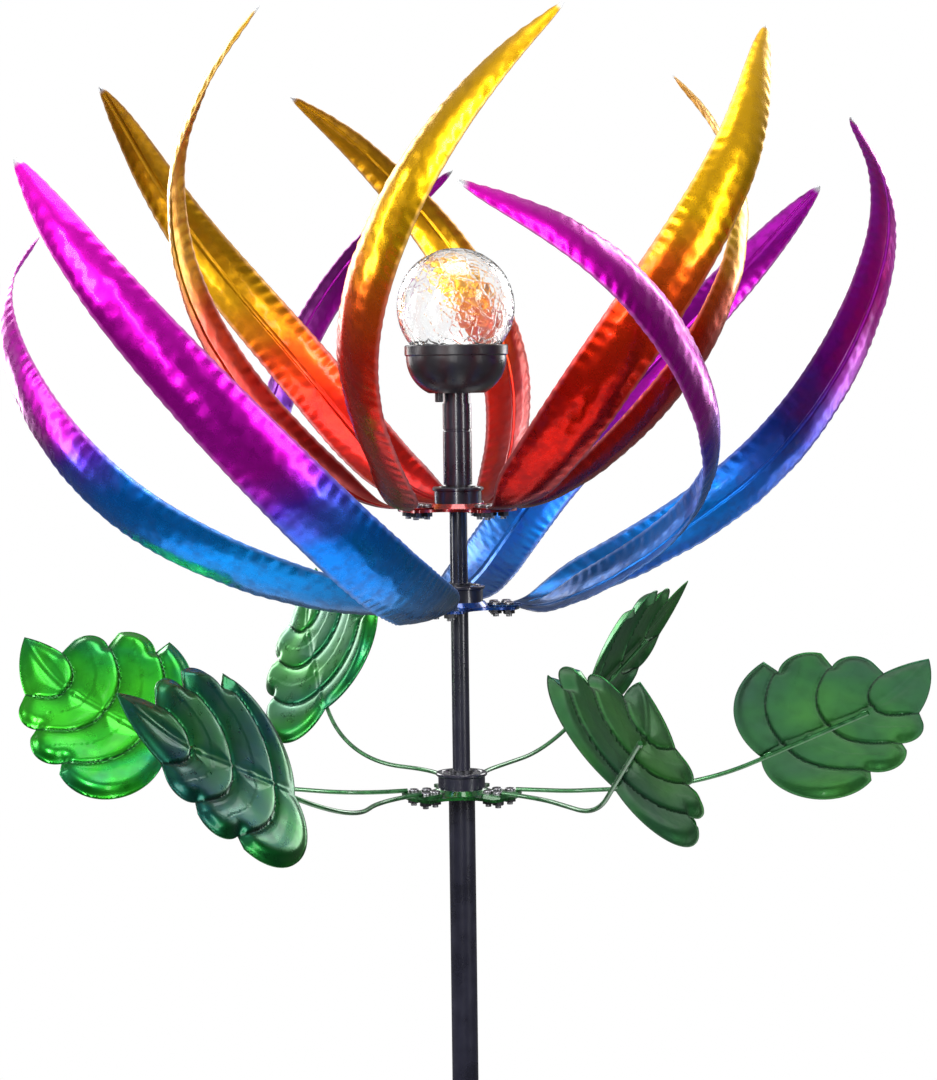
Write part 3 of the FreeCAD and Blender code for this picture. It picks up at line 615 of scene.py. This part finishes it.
def foot_tab(foot_azimuth):
    """Flat foot with two real screw holes, as vertices and faces in the petal's own frame."""
    half = FOOT_WIDTH / 2
    arc = [(FOOT_HOLES[0] + FOOT_END_R * math.cos(a), FOOT_END_R * math.sin(a))
           for a in np.linspace(math.pi / 2, 3 * math.pi / 2, 15)]
    loops = [[(PLATE_R + 0.5, half)] + arc + [(PLATE_R + 0.5, -half)]]
    for r in FOOT_HOLES:
        loops.append([(r + FOOT_HOLE_R * math.cos(a), FOOT_HOLE_R * math.sin(a))
                      for a in np.linspace(2 * math.pi, 0, 25)[:-1]])
    curve = bpy.data.curves.new("foot_outline", "CURVE")
    curve.dimensions = "2D"
    curve.fill_mode = "BOTH"
    curve.extrude = PETAL_SHEET / 2 * MM
    for loop in loops:
        line = curve.splines.new("POLY")
        line.points.add(len(loop) - 1)
        for point, (x, y) in zip(line.points, loop):
            point.co = (x * MM, y * MM, 0, 1)
        line.use_cyclic_u = True
    holder = bpy.data.objects.new("foot_outline", curve)
    mesh = bpy.data.meshes.new_from_object(holder)
    soup = bmesh.new()
    soup.from_mesh(mesh)
    bmesh.ops.remove_doubles(soup, verts=soup.verts, dist=1e-6)
    soup.verts.ensure_lookup_table()
    vertices = np.array([v.co for v in soup.verts]) / MM
    faces = [[v.index for v in f.verts] for f in soup.faces]
    soup.free()
    bpy.data.objects.remove(holder)
    bpy.data.curves.remove(curve)
    bpy.data.meshes.remove(mesh)
    vertices[:, 2] += PLATE_SHEET + PETAL_SHEET / 2
    return rotate(vertices, "Z", foot_azimuth), faces


def petal_piece(kind, index):
    """One hammered petal with its foot, on the CAD petal's own surfaces."""
    seed = PETAL_SEEDS[kind] + index
    rotor = PETAL_ROTORS[kind]
    bend = rotor["bends"][index]
    sense = rotor["sense"]
    foot_side = sense if index % 2 == 0 else -sense
    t, s, length = petal_stations(rotor, foot_side, bend)
    centre, outward, across, width = petal_frames(rotor, foot_side, bend, t)
    from_tip = length - s
    to_round = 1 - np.clip(from_tip, 0, TIP_ROUND) / TIP_ROUND
    round_tip = np.sqrt(np.clip(1 - to_round ** 2, 0.0, 1))
    scallop = 1 - SCALLOP * (0.5 + 0.5 * np.sin(2 * np.pi * s / SCALLOP_PITCH))
    half = np.maximum((width / 2 - EDGE_STEP) * round_tip * scallop, LEAST_HALF)
    # Columns across one face: fixed steps over the midrib bead, then an even share of the blade.
    rib = np.array(RIB_COLUMNS)
    blade = np.linspace(0, 1, BLADE_COLUMNS + 1)[1:]
    room = np.maximum(half - rib[-1], 0)
    side = np.concatenate([
        np.minimum(rib[None, :], half[:, None] * rib[None, :] / rib[-1]),
        np.minimum(rib[-1], half)[:, None] + room[:, None] * blade[None, :],
    ], axis=1)
    x = np.concatenate([-side[:, :0:-1], side], axis=1)
    share = x / half[:, None]
    run = s[:, None] + 0 * x
    hammer = Hammer(seed)
    cup = PETAL_CUP * width / PETAL_WIDTH * smooth_step(t / 0.15)
    drop = cup[:, None] * share ** 2
    slope = 2 * cup[:, None] * share / half[:, None]
    normal = outward[:, None, :] + across[:, None, :] * slope[..., None]
    normal /= np.linalg.norm(normal, axis=2)[..., None]
    base = centre[:, None, :] + across[:, None, :] * x[..., None]
    base = base - outward[:, None, :] * drop[..., None]
    # Hammer work fades out on the foot and at the tip. It only goes inwards from the outer face.
    fade = (smooth_step((s - FOOT_PLAIN) / FOOT_FADE) * smooth_step(from_tip / TIP_FADE))[:, None]
    to_edge = np.abs(share)
    wander = RIPPLE_WANDER * hammer.waves(run, x, WANDER_SIZE)
    ripple_at = run + RIPPLE_SLANT * to_edge + wander
    ripple = 0.5 - 0.5 * np.cos(2 * np.pi * ripple_at / RIPPLE_PITCH)
    ripple *= smooth_step((to_edge - RIPPLE_FROM) / RIPPLE_FADE)
    dents = hammer.dents(run, x, DENT_SIZE)
    swell = 0.5 + 0.5 * hammer.waves(run, x, SWELL_SIZE)
    depth = fade * (RIPPLE_DEPTH * ripple + DENT_DEPTH * dents + SWELL_DEPTH * swell)
    bead = BEAD_HEIGHT * np.sqrt(np.clip(1 - (x / BEAD_HALF) ** 2, 0, 1))
    bead *= (smooth_step((s - 2) / 14) * smooth_step((from_tip - 1) / 10))[:, None]
    outer = base + normal * (PETAL_SHEET / 2 - depth)[..., None]
    inner = base - normal * (PETAL_SHEET / 2 + depth + bead)[..., None]
    mid = base - normal * depth[..., None]
    edge_step = EDGE_STEP * np.minimum(round_tip, 1)[:, None]
    right_edge = mid[:, -1] + across * edge_step
    left_edge = mid[:, 0] - across * edge_step
    ring = np.concatenate([outer, right_edge[:, None], inner[:, ::-1], left_edge[:, None]], axis=1)
    n, columns = ring.shape[:2]
    vertices = ring.reshape(-1, 3)
    faces = loft_faces(n, columns)
    count = len(vertices)
    caps = np.stack([centre[0], ring[-1].mean(axis=0)])
    faces += [(j, (j + 1) % columns, count) for j in range(columns)]
    last = (n - 1) * columns
    faces += [(last + j, last + (j + 1) % columns, count + 1) for j in range(columns)]
    one = np.ones((n, 1))
    around = np.concatenate([share, one, share[:, ::-1], -one], axis=1)
    flat_x = np.concatenate([x, x[:, -1:], x[:, ::-1], x[:, :1]], axis=1)
    face_side = np.concatenate([0 * share, 0.5 * one, 1 + 0 * share, 0.5 * one], axis=1)
    along = np.repeat(s / length, columns).reshape(n, columns)
    place = np.stack([along, around, face_side], -1).reshape(-1, 3)
    sheet = np.stack([np.repeat(s, columns).reshape(n, columns), flat_x, 0 * along + 70.0 * seed], -1)
    sheet = sheet.reshape(-1, 3) * MM
    tab, tab_faces = foot_tab(foot_side * FOOT_SHIFT)
    faces += [[i + count + 2 for i in f] for f in tab_faces]
    vertices = np.concatenate([vertices, caps, tab])
    tab_place = np.tile((0.0, 0.0, 1.0), (len(tab), 1))
    place = np.concatenate([place, [[0, 0, 0.5], [1, 0, 0.5]], tab_place])
    sheet = np.concatenate([sheet, np.zeros((2, 3)), tab * MM])
    if sense < 0:
        vertices = vertices * (1, -1, 1)
    vertices = rotate(vertices, "Z", rotor["first"] + 60 * index - sense * TIP_SWEEP)
    vertices = vertices + (0, 0, rotor["base"])
    node = "%s_petal_%d" % (kind, index + 1)
    add_piece("hammered_" + node, vertices, faces, kind + "_rotor", kind + "_petal_paint", [node],
              place, sheet)


# --- leaves ---------------------------------------------------------------------------------------

LEAF_SHEET = 0.8
LEAF_BASE_R = 205.0
LEAF_BASE_Z = 31.0
LEAF_YAW = -17.5
LEAF_AZIMUTHS = [-14, 63, 120, 174, 240, 297]
LEAF_PITCHES = [48, 55, 53, 46, 54, 51]
LEAF_SLOPES = [25, 32, 38, 25, 25, 28]
LEAF_LIFTS = [0, 4, 5, 0, 0, 3]
LEAF_MIDRIB = 88.0
LEAF_TIP = (141.5, -19.0)
LEAF_SIDES = [
    [
        ((0, 0), (12, 55), (50, 56)),
        ((54, 48.5), (70, 54), (85, 44)),
        ((86, 36.5), (97, 37.5), (108, 27)),
        ((110.5, 18.5), (128, 3.5), LEAF_TIP),
    ],
    [
        ((0, 0), (8, -43), (51, -71)),
        ((54, -59), (71, -65.5), (86.5, -58)),
        ((86, -45), (99, -47), (110, -33)),
        ((110.5, -23), (126, -22.5), LEAF_TIP),
    ],
]
VEIN_STARTS = (19.0, 54.0, 88.0)        # along the midrib
PANEL_RISE = 1.7
PANEL_FALL = 5.5                        # a panel falls to its veins over about this length
VEIN_STEP = 1.3                         # how far a panel stands over the one nearer the base
STEP_FALL = 9.0
VEIN_GROOVE, GROOVE_HALF = 0.9, 1.1
MIDRIB_RIDGE, RIDGE_HALF = 1.0, 1.3
LEAF_CUP = 0.0012                       # rise for each square millimetre from the midrib
DOME_AT_RIM, DOME_RIM_FALL = 0.35, 7.0
RIM_FLAT, RIM_WIDTH = 0.97, 5.0         # share of the relief that is lost at the rim
LEAF_WAVE, LEAF_WAVE_SIZE = 0.4, 24.0
WELDS = (6.0, 38.0, 80.0)               # along the midrib
WELD_MARK, WELD_MARK_RISE = (2.4, 1.8), 0.7     # where a weld shows through
WELD_MARK_ROUGH, WELD_MARK_GRAIN = 0.4, 2.2
LEAF_TONES = (0.30, 0.45, 0.40, 0.72, 0.05, 0.35)   # from deep to bright green, leaf by leaf
LEAF_SEED = 77
LEAF_GRID = 1.25


def arc_through(a, b, c, step):
    """Points on the circle from a through b to c, without the last."""
    a, b, c = (np.array(p, float) for p in (a, b, c))
    (x1, y1), (x2, y2) = b - a, c - a
    det = 2 * (x1 * y2 - y1 * x2)
    q1, q2 = x1 * x1 + y1 * y1, x2 * x2 + y2 * y2
    centre = a + np.array((y2 * q1 - y1 * q2, x1 * q2 - x2 * q1)) / det
    angles = [math.atan2(*(p - centre)[::-1]) for p in (a, b, c)]
    turn = (angles[2] - angles[0]) % (2 * math.pi)
    if (angles[1] - angles[0]) % (2 * math.pi) > turn:
        turn -= 2 * math.pi
    radius = np.linalg.norm(a - centre)
    count = max(4, int(abs(turn) * radius / step))
    sweep = angles[0] + turn * np.arange(count) / count
    return [tuple(centre + radius * np.array((math.cos(w), math.sin(w)))) for w in sweep]


def leaf_outline(step):
    """Closed outline from the base along one side to the tip and back along the other."""
    there, back = [], []
    for points, lobes in zip((there, back), LEAF_SIDES):
        for start, bulge, end in lobes:
            points += arc_through(start, bulge, end, step) + [end]
    return np.array(there + back[-2:0:-1], float)


def distance_to(points, line, closed=False):
    """Shortest distance from each point to a polyline."""
    a = line if closed else line[:-1]
    b = np.roll(line, -1, axis=0) if closed else line[1:]
    d = b - a
    best = np.full(len(points), 1e9)
    for p, q, n in zip(a, d, np.maximum((d ** 2).sum(axis=1), 1e-12)):
        h = np.clip((points - p) @ q / n, 0, 1)
        best = np.minimum(best, np.linalg.norm(points - p - h[:, None] * q, axis=1))
    return best


def inside(points, outline):
    """Even-odd test."""
    x, y = points[:, 0], points[:, 1]
    odd = np.zeros(len(points), bool)
    for (x1, y1), (x2, y2) in zip(outline, np.roll(outline, -1, axis=0)):
        if y1 != y2:
            odd ^= ((y1 > y) != (y2 > y)) & (x < (x2 - x1) * (y - y1) / (y2 - y1) + x1)
    return odd


def leaf_veins():
    """Midrib with its curved end, and three veins a side, from the midrib to the notches."""
    w = np.linspace(0, 1, 26)[:, None]

    def curve(a, b, c):
        a, b, c = (np.array(p, float) for p in (a, b, c))
        return a * (1 - w) ** 2 + 2 * b * w * (1 - w) + c * w ** 2
    straight = np.stack([np.linspace(-2, LEAF_MIDRIB, 40), np.zeros(40)], 1)
    lines = [np.concatenate([straight, curve((LEAF_MIDRIB, 0), (112, -3), LEAF_TIP)[1:]])]
    for lobes in LEAF_SIDES:
        for start, (notch, _, _) in zip(VEIN_STARTS, lobes[1:]):
            lines.append(curve((start, 0), (start - 2, 0.66 * notch[1]), notch))
    return lines


def leaf_mesh():
    """One stamped leaf in its own frame, on the CAD's flat sheet: vertices, faces and places.

    The panels between the grooved veins are domed, and each stands over the one nearer the base.
    """
    outline = leaf_outline(LEAF_GRID)
    low, high = outline.min(axis=0), outline.max(axis=0)
    rows = np.arange(low[1], high[1], LEAF_GRID * 0.866)
    grid = np.array([(u + (i % 2) * LEAF_GRID / 2, v) for i, v in enumerate(rows)
                     for u in np.arange(low[0], high[0], LEAF_GRID)])
    grid = grid[inside(grid, outline)]
    grid = grid[distance_to(grid, outline, True) > LEAF_GRID * 0.6]
    points = np.concatenate([outline, grid])
    rim = len(outline)
    edges = [(i, (i + 1) % rim) for i in range(rim)]
    found = delaunay_2d_cdt([Vector(p) for p in points], edges, [], 1, 1e-5)
    flat = np.array([tuple(v) for v in found[0]])
    triangles = [tuple(f) for f in found[2]]
    veins = leaf_veins()
    to_midrib = distance_to(flat, veins[0])
    distances = np.array([distance_to(flat, line) for line in veins[1:]])
    tipward = []
    for line in veins[1:]:
        side = np.sign(line[-1, 1])
        tipward.append(flat[:, 0] > np.interp(side * flat[:, 1], side * line[:, 1], line[:, 0]))
    to_vein = distances.min(axis=0)
    raised = np.take_along_axis(np.array(tipward), distances.argmin(axis=0)[None], axis=0)[0]
    to_rim = distance_to(flat, outline, True)
    hammer = Hammer(LEAF_SEED)
    near = np.minimum(to_vein, to_midrib * 1.3)
    dome = 1 - (1 - DOME_AT_RIM) * np.exp(-to_rim / DOME_RIM_FALL)
    dome *= 1 - np.exp(-near / PANEL_FALL)
    rise = VEIN_GROOVE + PANEL_RISE * dome + LEAF_CUP * flat[:, 1] ** 2
    rise += LEAF_WAVE * (1 + hammer.waves(flat[:, 0], flat[:, 1], LEAF_WAVE_SIZE)) * dome
    rise += VEIN_STEP * raised * np.exp(-to_vein / STEP_FALL)
    groove = np.exp(-(to_vein / GROOVE_HALF) ** 2)
    rise -= VEIN_GROOVE * groove
    rise += MIDRIB_RIDGE * np.exp(-(to_midrib / RIDGE_HALF) ** 2)
    for weld in WELDS[1:]:
        mark = ((flat[:, 0] - weld) / WELD_MARK[0]) ** 2 + (flat[:, 1] / WELD_MARK[1]) ** 2
        lumps = hammer.waves(flat[:, 0], flat[:, 1], WELD_MARK_GRAIN)
        rise += np.exp(-mark) * (WELD_MARK_RISE + WELD_MARK_ROUGH * lumps)
    rise *= 1 - RIM_FLAT * np.exp(-(to_rim / RIM_WIDTH) ** 2)
    back = np.column_stack([flat, rise])
    front = back + (0, 0, LEAF_SHEET)
    count = len(flat)
    faces = triangles + [tuple(i + count for i in reversed(t)) for t in triangles]
    border = {}
    for a, b, c in triangles:
        for edge in ((a, b), (b, c), (c, a)):
            border[edge] = True
    for a, b in border:
        if (b, a) not in border:
            faces.append((b, a, a + count, b + count))
    vertices = np.concatenate([back, front])
    # Mask for the painted shade in the vein grooves: 1 on the panels, 0 in the grooves.
    panel = np.tile(1 - groove, 2)
    place = np.column_stack([panel, np.zeros(2 * count), np.repeat([1.0, 0.0], count)])
    return vertices, faces, place


def leaf_to_rotor(points, leaf):
    azimuth = LEAF_AZIMUTHS[leaf]
    points = rotate(rotate(points, "X", -LEAF_PITCHES[leaf]), "Y", -LEAF_SLOPES[leaf])
    points = rotate(points, "Z", azimuth + LEAF_YAW)
    return points + polar(LEAF_BASE_R, azimuth, LEAF_BASE_Z + LEAF_LIFTS[leaf]) + (0, 0, LEAF_Z)


def weld_beads(seed):
    """Lumps of weld between the stem and the leaf's back, in the leaf's own frame."""
    vertices, faces = [], []
    for k, weld in enumerate(WELDS):
        for side in (-1, 1):
            ball = bmesh.new()
            bmesh.ops.create_icosphere(ball, subdivisions=3, radius=1.0)
            first = len(vertices)
            for v in ball.verts:
                lump = 1 + 0.28 * noise.noise(v.co * 1.9 + Vector((seed * 3.1, k * 5.3, side)))
                vertices.append((weld + 3.4 * v.co.x * lump, side * 1.1 + 1.0 * v.co.y * lump,
                                 -0.75 + 0.75 * v.co.z * lump))
            faces += [[v.index + first for v in f.verts] for f in ball.faces]
            ball.free()
    return np.array(vertices), faces


def make_leaves():
    vertices, faces, place = leaf_mesh()
    for i in range(len(LEAF_AZIMUTHS)):
        name = "leaf_%d" % (i + 1)
        place[:, 1] = LEAF_TONES[i]
        add_piece("stamped_" + name, leaf_to_rotor(vertices, i), faces,
                  "leaf_rotor", "leaf_paint", [name], place)
        beads, bead_faces = weld_beads(i)
        add_piece("weld_" + name, leaf_to_rotor(beads, i), bead_faces,
                  "leaf_rotor", "leaf_paint", material=STEM_PAINT)


# --- globe ----------------------------------------------------------------------------------------

BOWL_Z = 1421.5
GLOBE_R = 40.0
GLOBE_WALL = 2.0
GLOBE_Z = BOWL_Z + 57.8
GLOBE_CUT = BOWL_Z + 28.0
CRACK_COUNT = 420                       # fragments on the whole ball
CRACK_DEPTH, CRACK_HALF = 0.34, 0.26
CRACK_SEED = 5
CRACK_WANDER, CRACK_WANDER_RATE = 0.035, 7.0
RIM_CLEAR = 0.10                        # the glass is whole at its rim
OUTER_LEVEL = 7         # subdivisions of the ball
INNER_LEVEL = 5
FRAGMENT_SINK = 0.15                    # how far the fragments lie below the CAD's outer face
FRAGMENT_TILT, FRAGMENT_TILT_MOST = 0.014, 0.12


def crack_field(directions):
    """Distance in millimetres to the nearest crack, and each fragment's tilt, on the globe."""
    random = np.random.RandomState(CRACK_SEED)
    seeds = random.normal(size=(CRACK_COUNT, 3))
    seeds /= np.linalg.norm(seeds, axis=1)[:, None]
    wander = [noise.noise_vector(Vector(d) * CRACK_WANDER_RATE) for d in directions]
    spots = directions + np.array(wander) * CRACK_WANDER
    spots /= np.linalg.norm(spots, axis=1)[:, None]
    near = spots @ seeds.T
    order = np.argpartition(-near, 1, axis=1)[:, :2]
    pair = np.take_along_axis(near, order, axis=1)
    swap = pair[:, 0] < pair[:, 1]
    first = np.where(swap, order[:, 1], order[:, 0])
    second = np.where(swap, order[:, 0], order[:, 1])
    gap = seeds[first] - seeds[second]
    gap /= np.linalg.norm(gap, axis=1)[:, None]
    distance = np.abs(np.sum(spots * gap, axis=1)) * GLOBE_R
    return distance, random.normal(size=(CRACK_COUNT, 3))[first], seeds[first]


def globe_shell(radius, level, crackle):
    """Ball open below the cut, as vertices, faces and the rim's vertices by azimuth."""
    ball = bmesh.new()
    bmesh.ops.create_icosphere(ball, subdivisions=level, radius=1.0)
    cut = (GLOBE_CUT - GLOBE_Z) / radius
    bmesh.ops.bisect_plane(ball, geom=ball.verts[:] + ball.edges[:] + ball.faces[:],
                           plane_co=(0, 0, cut), plane_no=(0, 0, 1), clear_inner=True)
    directions = np.array([v.co for v in ball.verts])
    directions /= np.linalg.norm(directions, axis=1)[:, None]
    faces = [[v.index for v in f.verts] for f in ball.faces]
    rim = [e for e in ball.edges if e.is_boundary]
    rim_vertices = sorted({v.index for e in rim for v in e.verts},
                          key=lambda i: math.atan2(directions[i][1], directions[i][0]))
    ball.free()
    depth = np.zeros(len(directions))
    if crackle:
        distance, tilt, middle = crack_field(directions)
        tilt_by = np.sum((directions - middle) * tilt, axis=1) * GLOBE_R * FRAGMENT_TILT
        tilt_by = np.clip(tilt_by, -FRAGMENT_TILT_MOST, FRAGMENT_TILT_MOST)
        clear = smooth_step((directions[:, 2] - cut) / RIM_CLEAR)
        crack = CRACK_DEPTH * np.exp(-(distance / CRACK_HALF) ** 2)
        depth = clear * (crack + FRAGMENT_SINK + tilt_by)
    vertices = directions * (radius - depth)[:, None] + (0, 0, GLOBE_Z)
    return vertices, faces, rim_vertices


def make_globe():
    """Crackled outside and smooth inside, joined round the opening."""
    outer, outer_faces, outer_rim = globe_shell(GLOBE_R, OUTER_LEVEL, True)
    inner, inner_faces, inner_rim = globe_shell(GLOBE_R - GLOBE_WALL, INNER_LEVEL, False)
    count = len(outer)
    faces = outer_faces + [[i + count for i in reversed(f)] for f in inner_faces]
    # The two rims are joined by walking round both by azimuth.
    walk = [(math.atan2(outer[i][1], outer[i][0]), i) for i in outer_rim]
    inner_walk = [(math.atan2(inner[i][1], inner[i][0]), i + count) for i in inner_rim]
    i = j = 0
    while i < len(walk) or j < len(inner_walk):
        a, a_next = walk[i % len(walk)], walk[(i + 1) % len(walk)]
        b, b_next = inner_walk[j % len(inner_walk)], inner_walk[(j + 1) % len(inner_walk)]
        a_turn = a_next[0] + (2 * math.pi if i + 1 >= len(walk) else 0)
        b_turn = b_next[0] + (2 * math.pi if j + 1 >= len(inner_walk) else 0)
        if j >= len(inner_walk) or (i < len(walk) and a_turn <= b_turn):
            faces.append((a[1], a_next[1], b[1]))
            i += 1
        else:
            faces.append((a[1], b_next[1], b[1]))
            j += 1
    vertices = np.concatenate([outer, inner])
    add_piece("crackle_globe", vertices, faces, "lamp", "glass", ["glass_globe"])


# --- stage ----------------------------------------------------------------------------------------

FLOOR_RINGS, FLOOR_COLUMNS = 24, 96
FLOOR_SAG = 3.0                         # mm, at the rim


def make_floor():
    """Pale disc that sags a little towards its rim."""
    rings, columns = FLOOR_RINGS, FLOOR_COLUMNS
    vertices, faces = [(0, 0, FLOOR_Z / MM)], []
    for i in range(1, rings + 1):
        r = FLOOR_R / MM * i / rings
        sag = -FLOOR_SAG * max(0.0, i / rings - 0.9) * 10
        for j in range(columns):
            vertices.append(tuple(polar(r, 360 * j / columns, FLOOR_Z / MM + sag)))
    faces += [(0, 1 + j, 1 + (j + 1) % columns) for j in range(columns)]
    faces += loft_faces(rings, columns, 1)
    mesh = bpy.data.meshes.new("floor")
    mesh.from_pydata((np.array(vertices) * MM).tolist(), [], faces)
    floor = bpy.data.objects.new("floor", mesh)
    bpy.context.scene.collection.objects.link(floor)
    g = Graph("floor_paper", IOR=1.4)
    p = g.position()
    grain = g.noise(p, 60.0, 6.0)
    g.set(g.shader, {
        "Base Color": g.ramp(grain, [(0.3, (0.80, 0.80, 0.80)), (0.7, (0.84, 0.84, 0.84))]),
        "Roughness": g.range(grain, 0.3, 0.7, 0.7, 0.85),
    })
    mesh.materials.append(g.material)


LIGHTS = [
    # name, azimuth, height, distance, width and height of the panel, power in watts
    ("key", -126, 2.2, 2.0, 0.34, 1.0, 42),
    ("strip", -98, 1.9, 2.3, 0.2, 1.7, 22),
    ("fill", -40, 1.75, 2.0, 0.4, 1.5, 24),
    ("left", 178, 1.7, 2.1, 0.3, 1.2, 18),
    ("back_left", 128, 1.9, 2.0, 0.7, 1.4, 26),
    ("back_right", 46, 2.0, 2.0, 0.7, 1.4, 26),
    ("top", -90, 3.2, 0.25, 1.1, 1.1, 32),
]
LIGHT_AIM = Vector((0, 0, 1.38))
# Greys from straight down to straight up.
SKY_GREYS = [(0.0, 0.36), (0.40, 0.12), (0.55, 0.18), (0.75, 0.50), (1.0, 0.9)]
SKY_STRENGTH = 0.8


def make_lights():
    for name, azimuth, height, distance, width, tall, power in LIGHTS:
        data = bpy.data.lights.new(name, "AREA")
        data.shape = "RECTANGLE"
        data.size, data.size_y = width, tall
        data.energy = power
        light = bpy.data.objects.new(name, data)
        bpy.context.scene.collection.objects.link(light)
        light.location = Vector(polar(distance, azimuth, height))
        light.rotation_euler = (LIGHT_AIM - light.location).to_track_quat("-Z", "Y").to_euler()
        light.visible_camera = False


def make_world():
    """White to the camera and through the glass; graded greys for light and reflections."""
    world = bpy.data.worlds.new("studio")
    bpy.context.scene.world = world
    world.use_nodes = True
    tree = world.node_tree
    tree.nodes.clear()
    out = tree.nodes.new("ShaderNodeOutputWorld")
    seen = tree.nodes.new("ShaderNodeBackground")
    seen.inputs["Color"].default_value = (1, 1, 1, 1)
    seen.inputs["Strength"].default_value = 1.0
    lit = tree.nodes.new("ShaderNodeBackground")
    coordinates = tree.nodes.new("ShaderNodeTexCoord")
    axes = tree.nodes.new("ShaderNodeSeparateXYZ")
    ramp = tree.nodes.new("ShaderNodeValToRGB")
    scaled = tree.nodes.new("ShaderNodeMath")
    scaled.operation = "MULTIPLY_ADD"
    scaled.inputs[1].default_value = 0.5
    scaled.inputs[2].default_value = 0.5
    while len(ramp.color_ramp.elements) < len(SKY_GREYS):
        ramp.color_ramp.elements.new(0.5)
    for element, (place, grey) in zip(ramp.color_ramp.elements, SKY_GREYS):
        element.position = place
        element.color = (grey, grey, grey, 1)
    switch = tree.nodes.new("ShaderNodeMixShader")
    path = tree.nodes.new("ShaderNodeLightPath")
    link = tree.links.new
    link(coordinates.outputs["Generated"], axes.inputs[0])
    link(axes.outputs[2], scaled.inputs[0])
    link(scaled.outputs[0], ramp.inputs[0])
    link(ramp.outputs[0], lit.inputs["Color"])
    lit.inputs["Strength"].default_value = SKY_STRENGTH
    direct = tree.nodes.new("ShaderNodeMath")
    direct.operation = "MAXIMUM"
    link(path.outputs["Is Camera Ray"], direct.inputs[0])
    link(path.outputs["Is Transmission Ray"], direct.inputs[1])
    link(direct.outputs[0], switch.inputs[0])
    link(lit.outputs[0], switch.inputs[1])
    link(seen.outputs[0], switch.inputs[2])
    link(switch.outputs[0], out.inputs[0])
    bpy.context.scene.view_settings.view_transform = "Standard"


make_camera()
dress_cad_nodes()
for petal_kind in PETAL_ROTORS:
    for petal_index in range(6):
        petal_piece(petal_kind, petal_index)
make_leaves()
make_globe()
make_floor()
make_lights()
make_world()
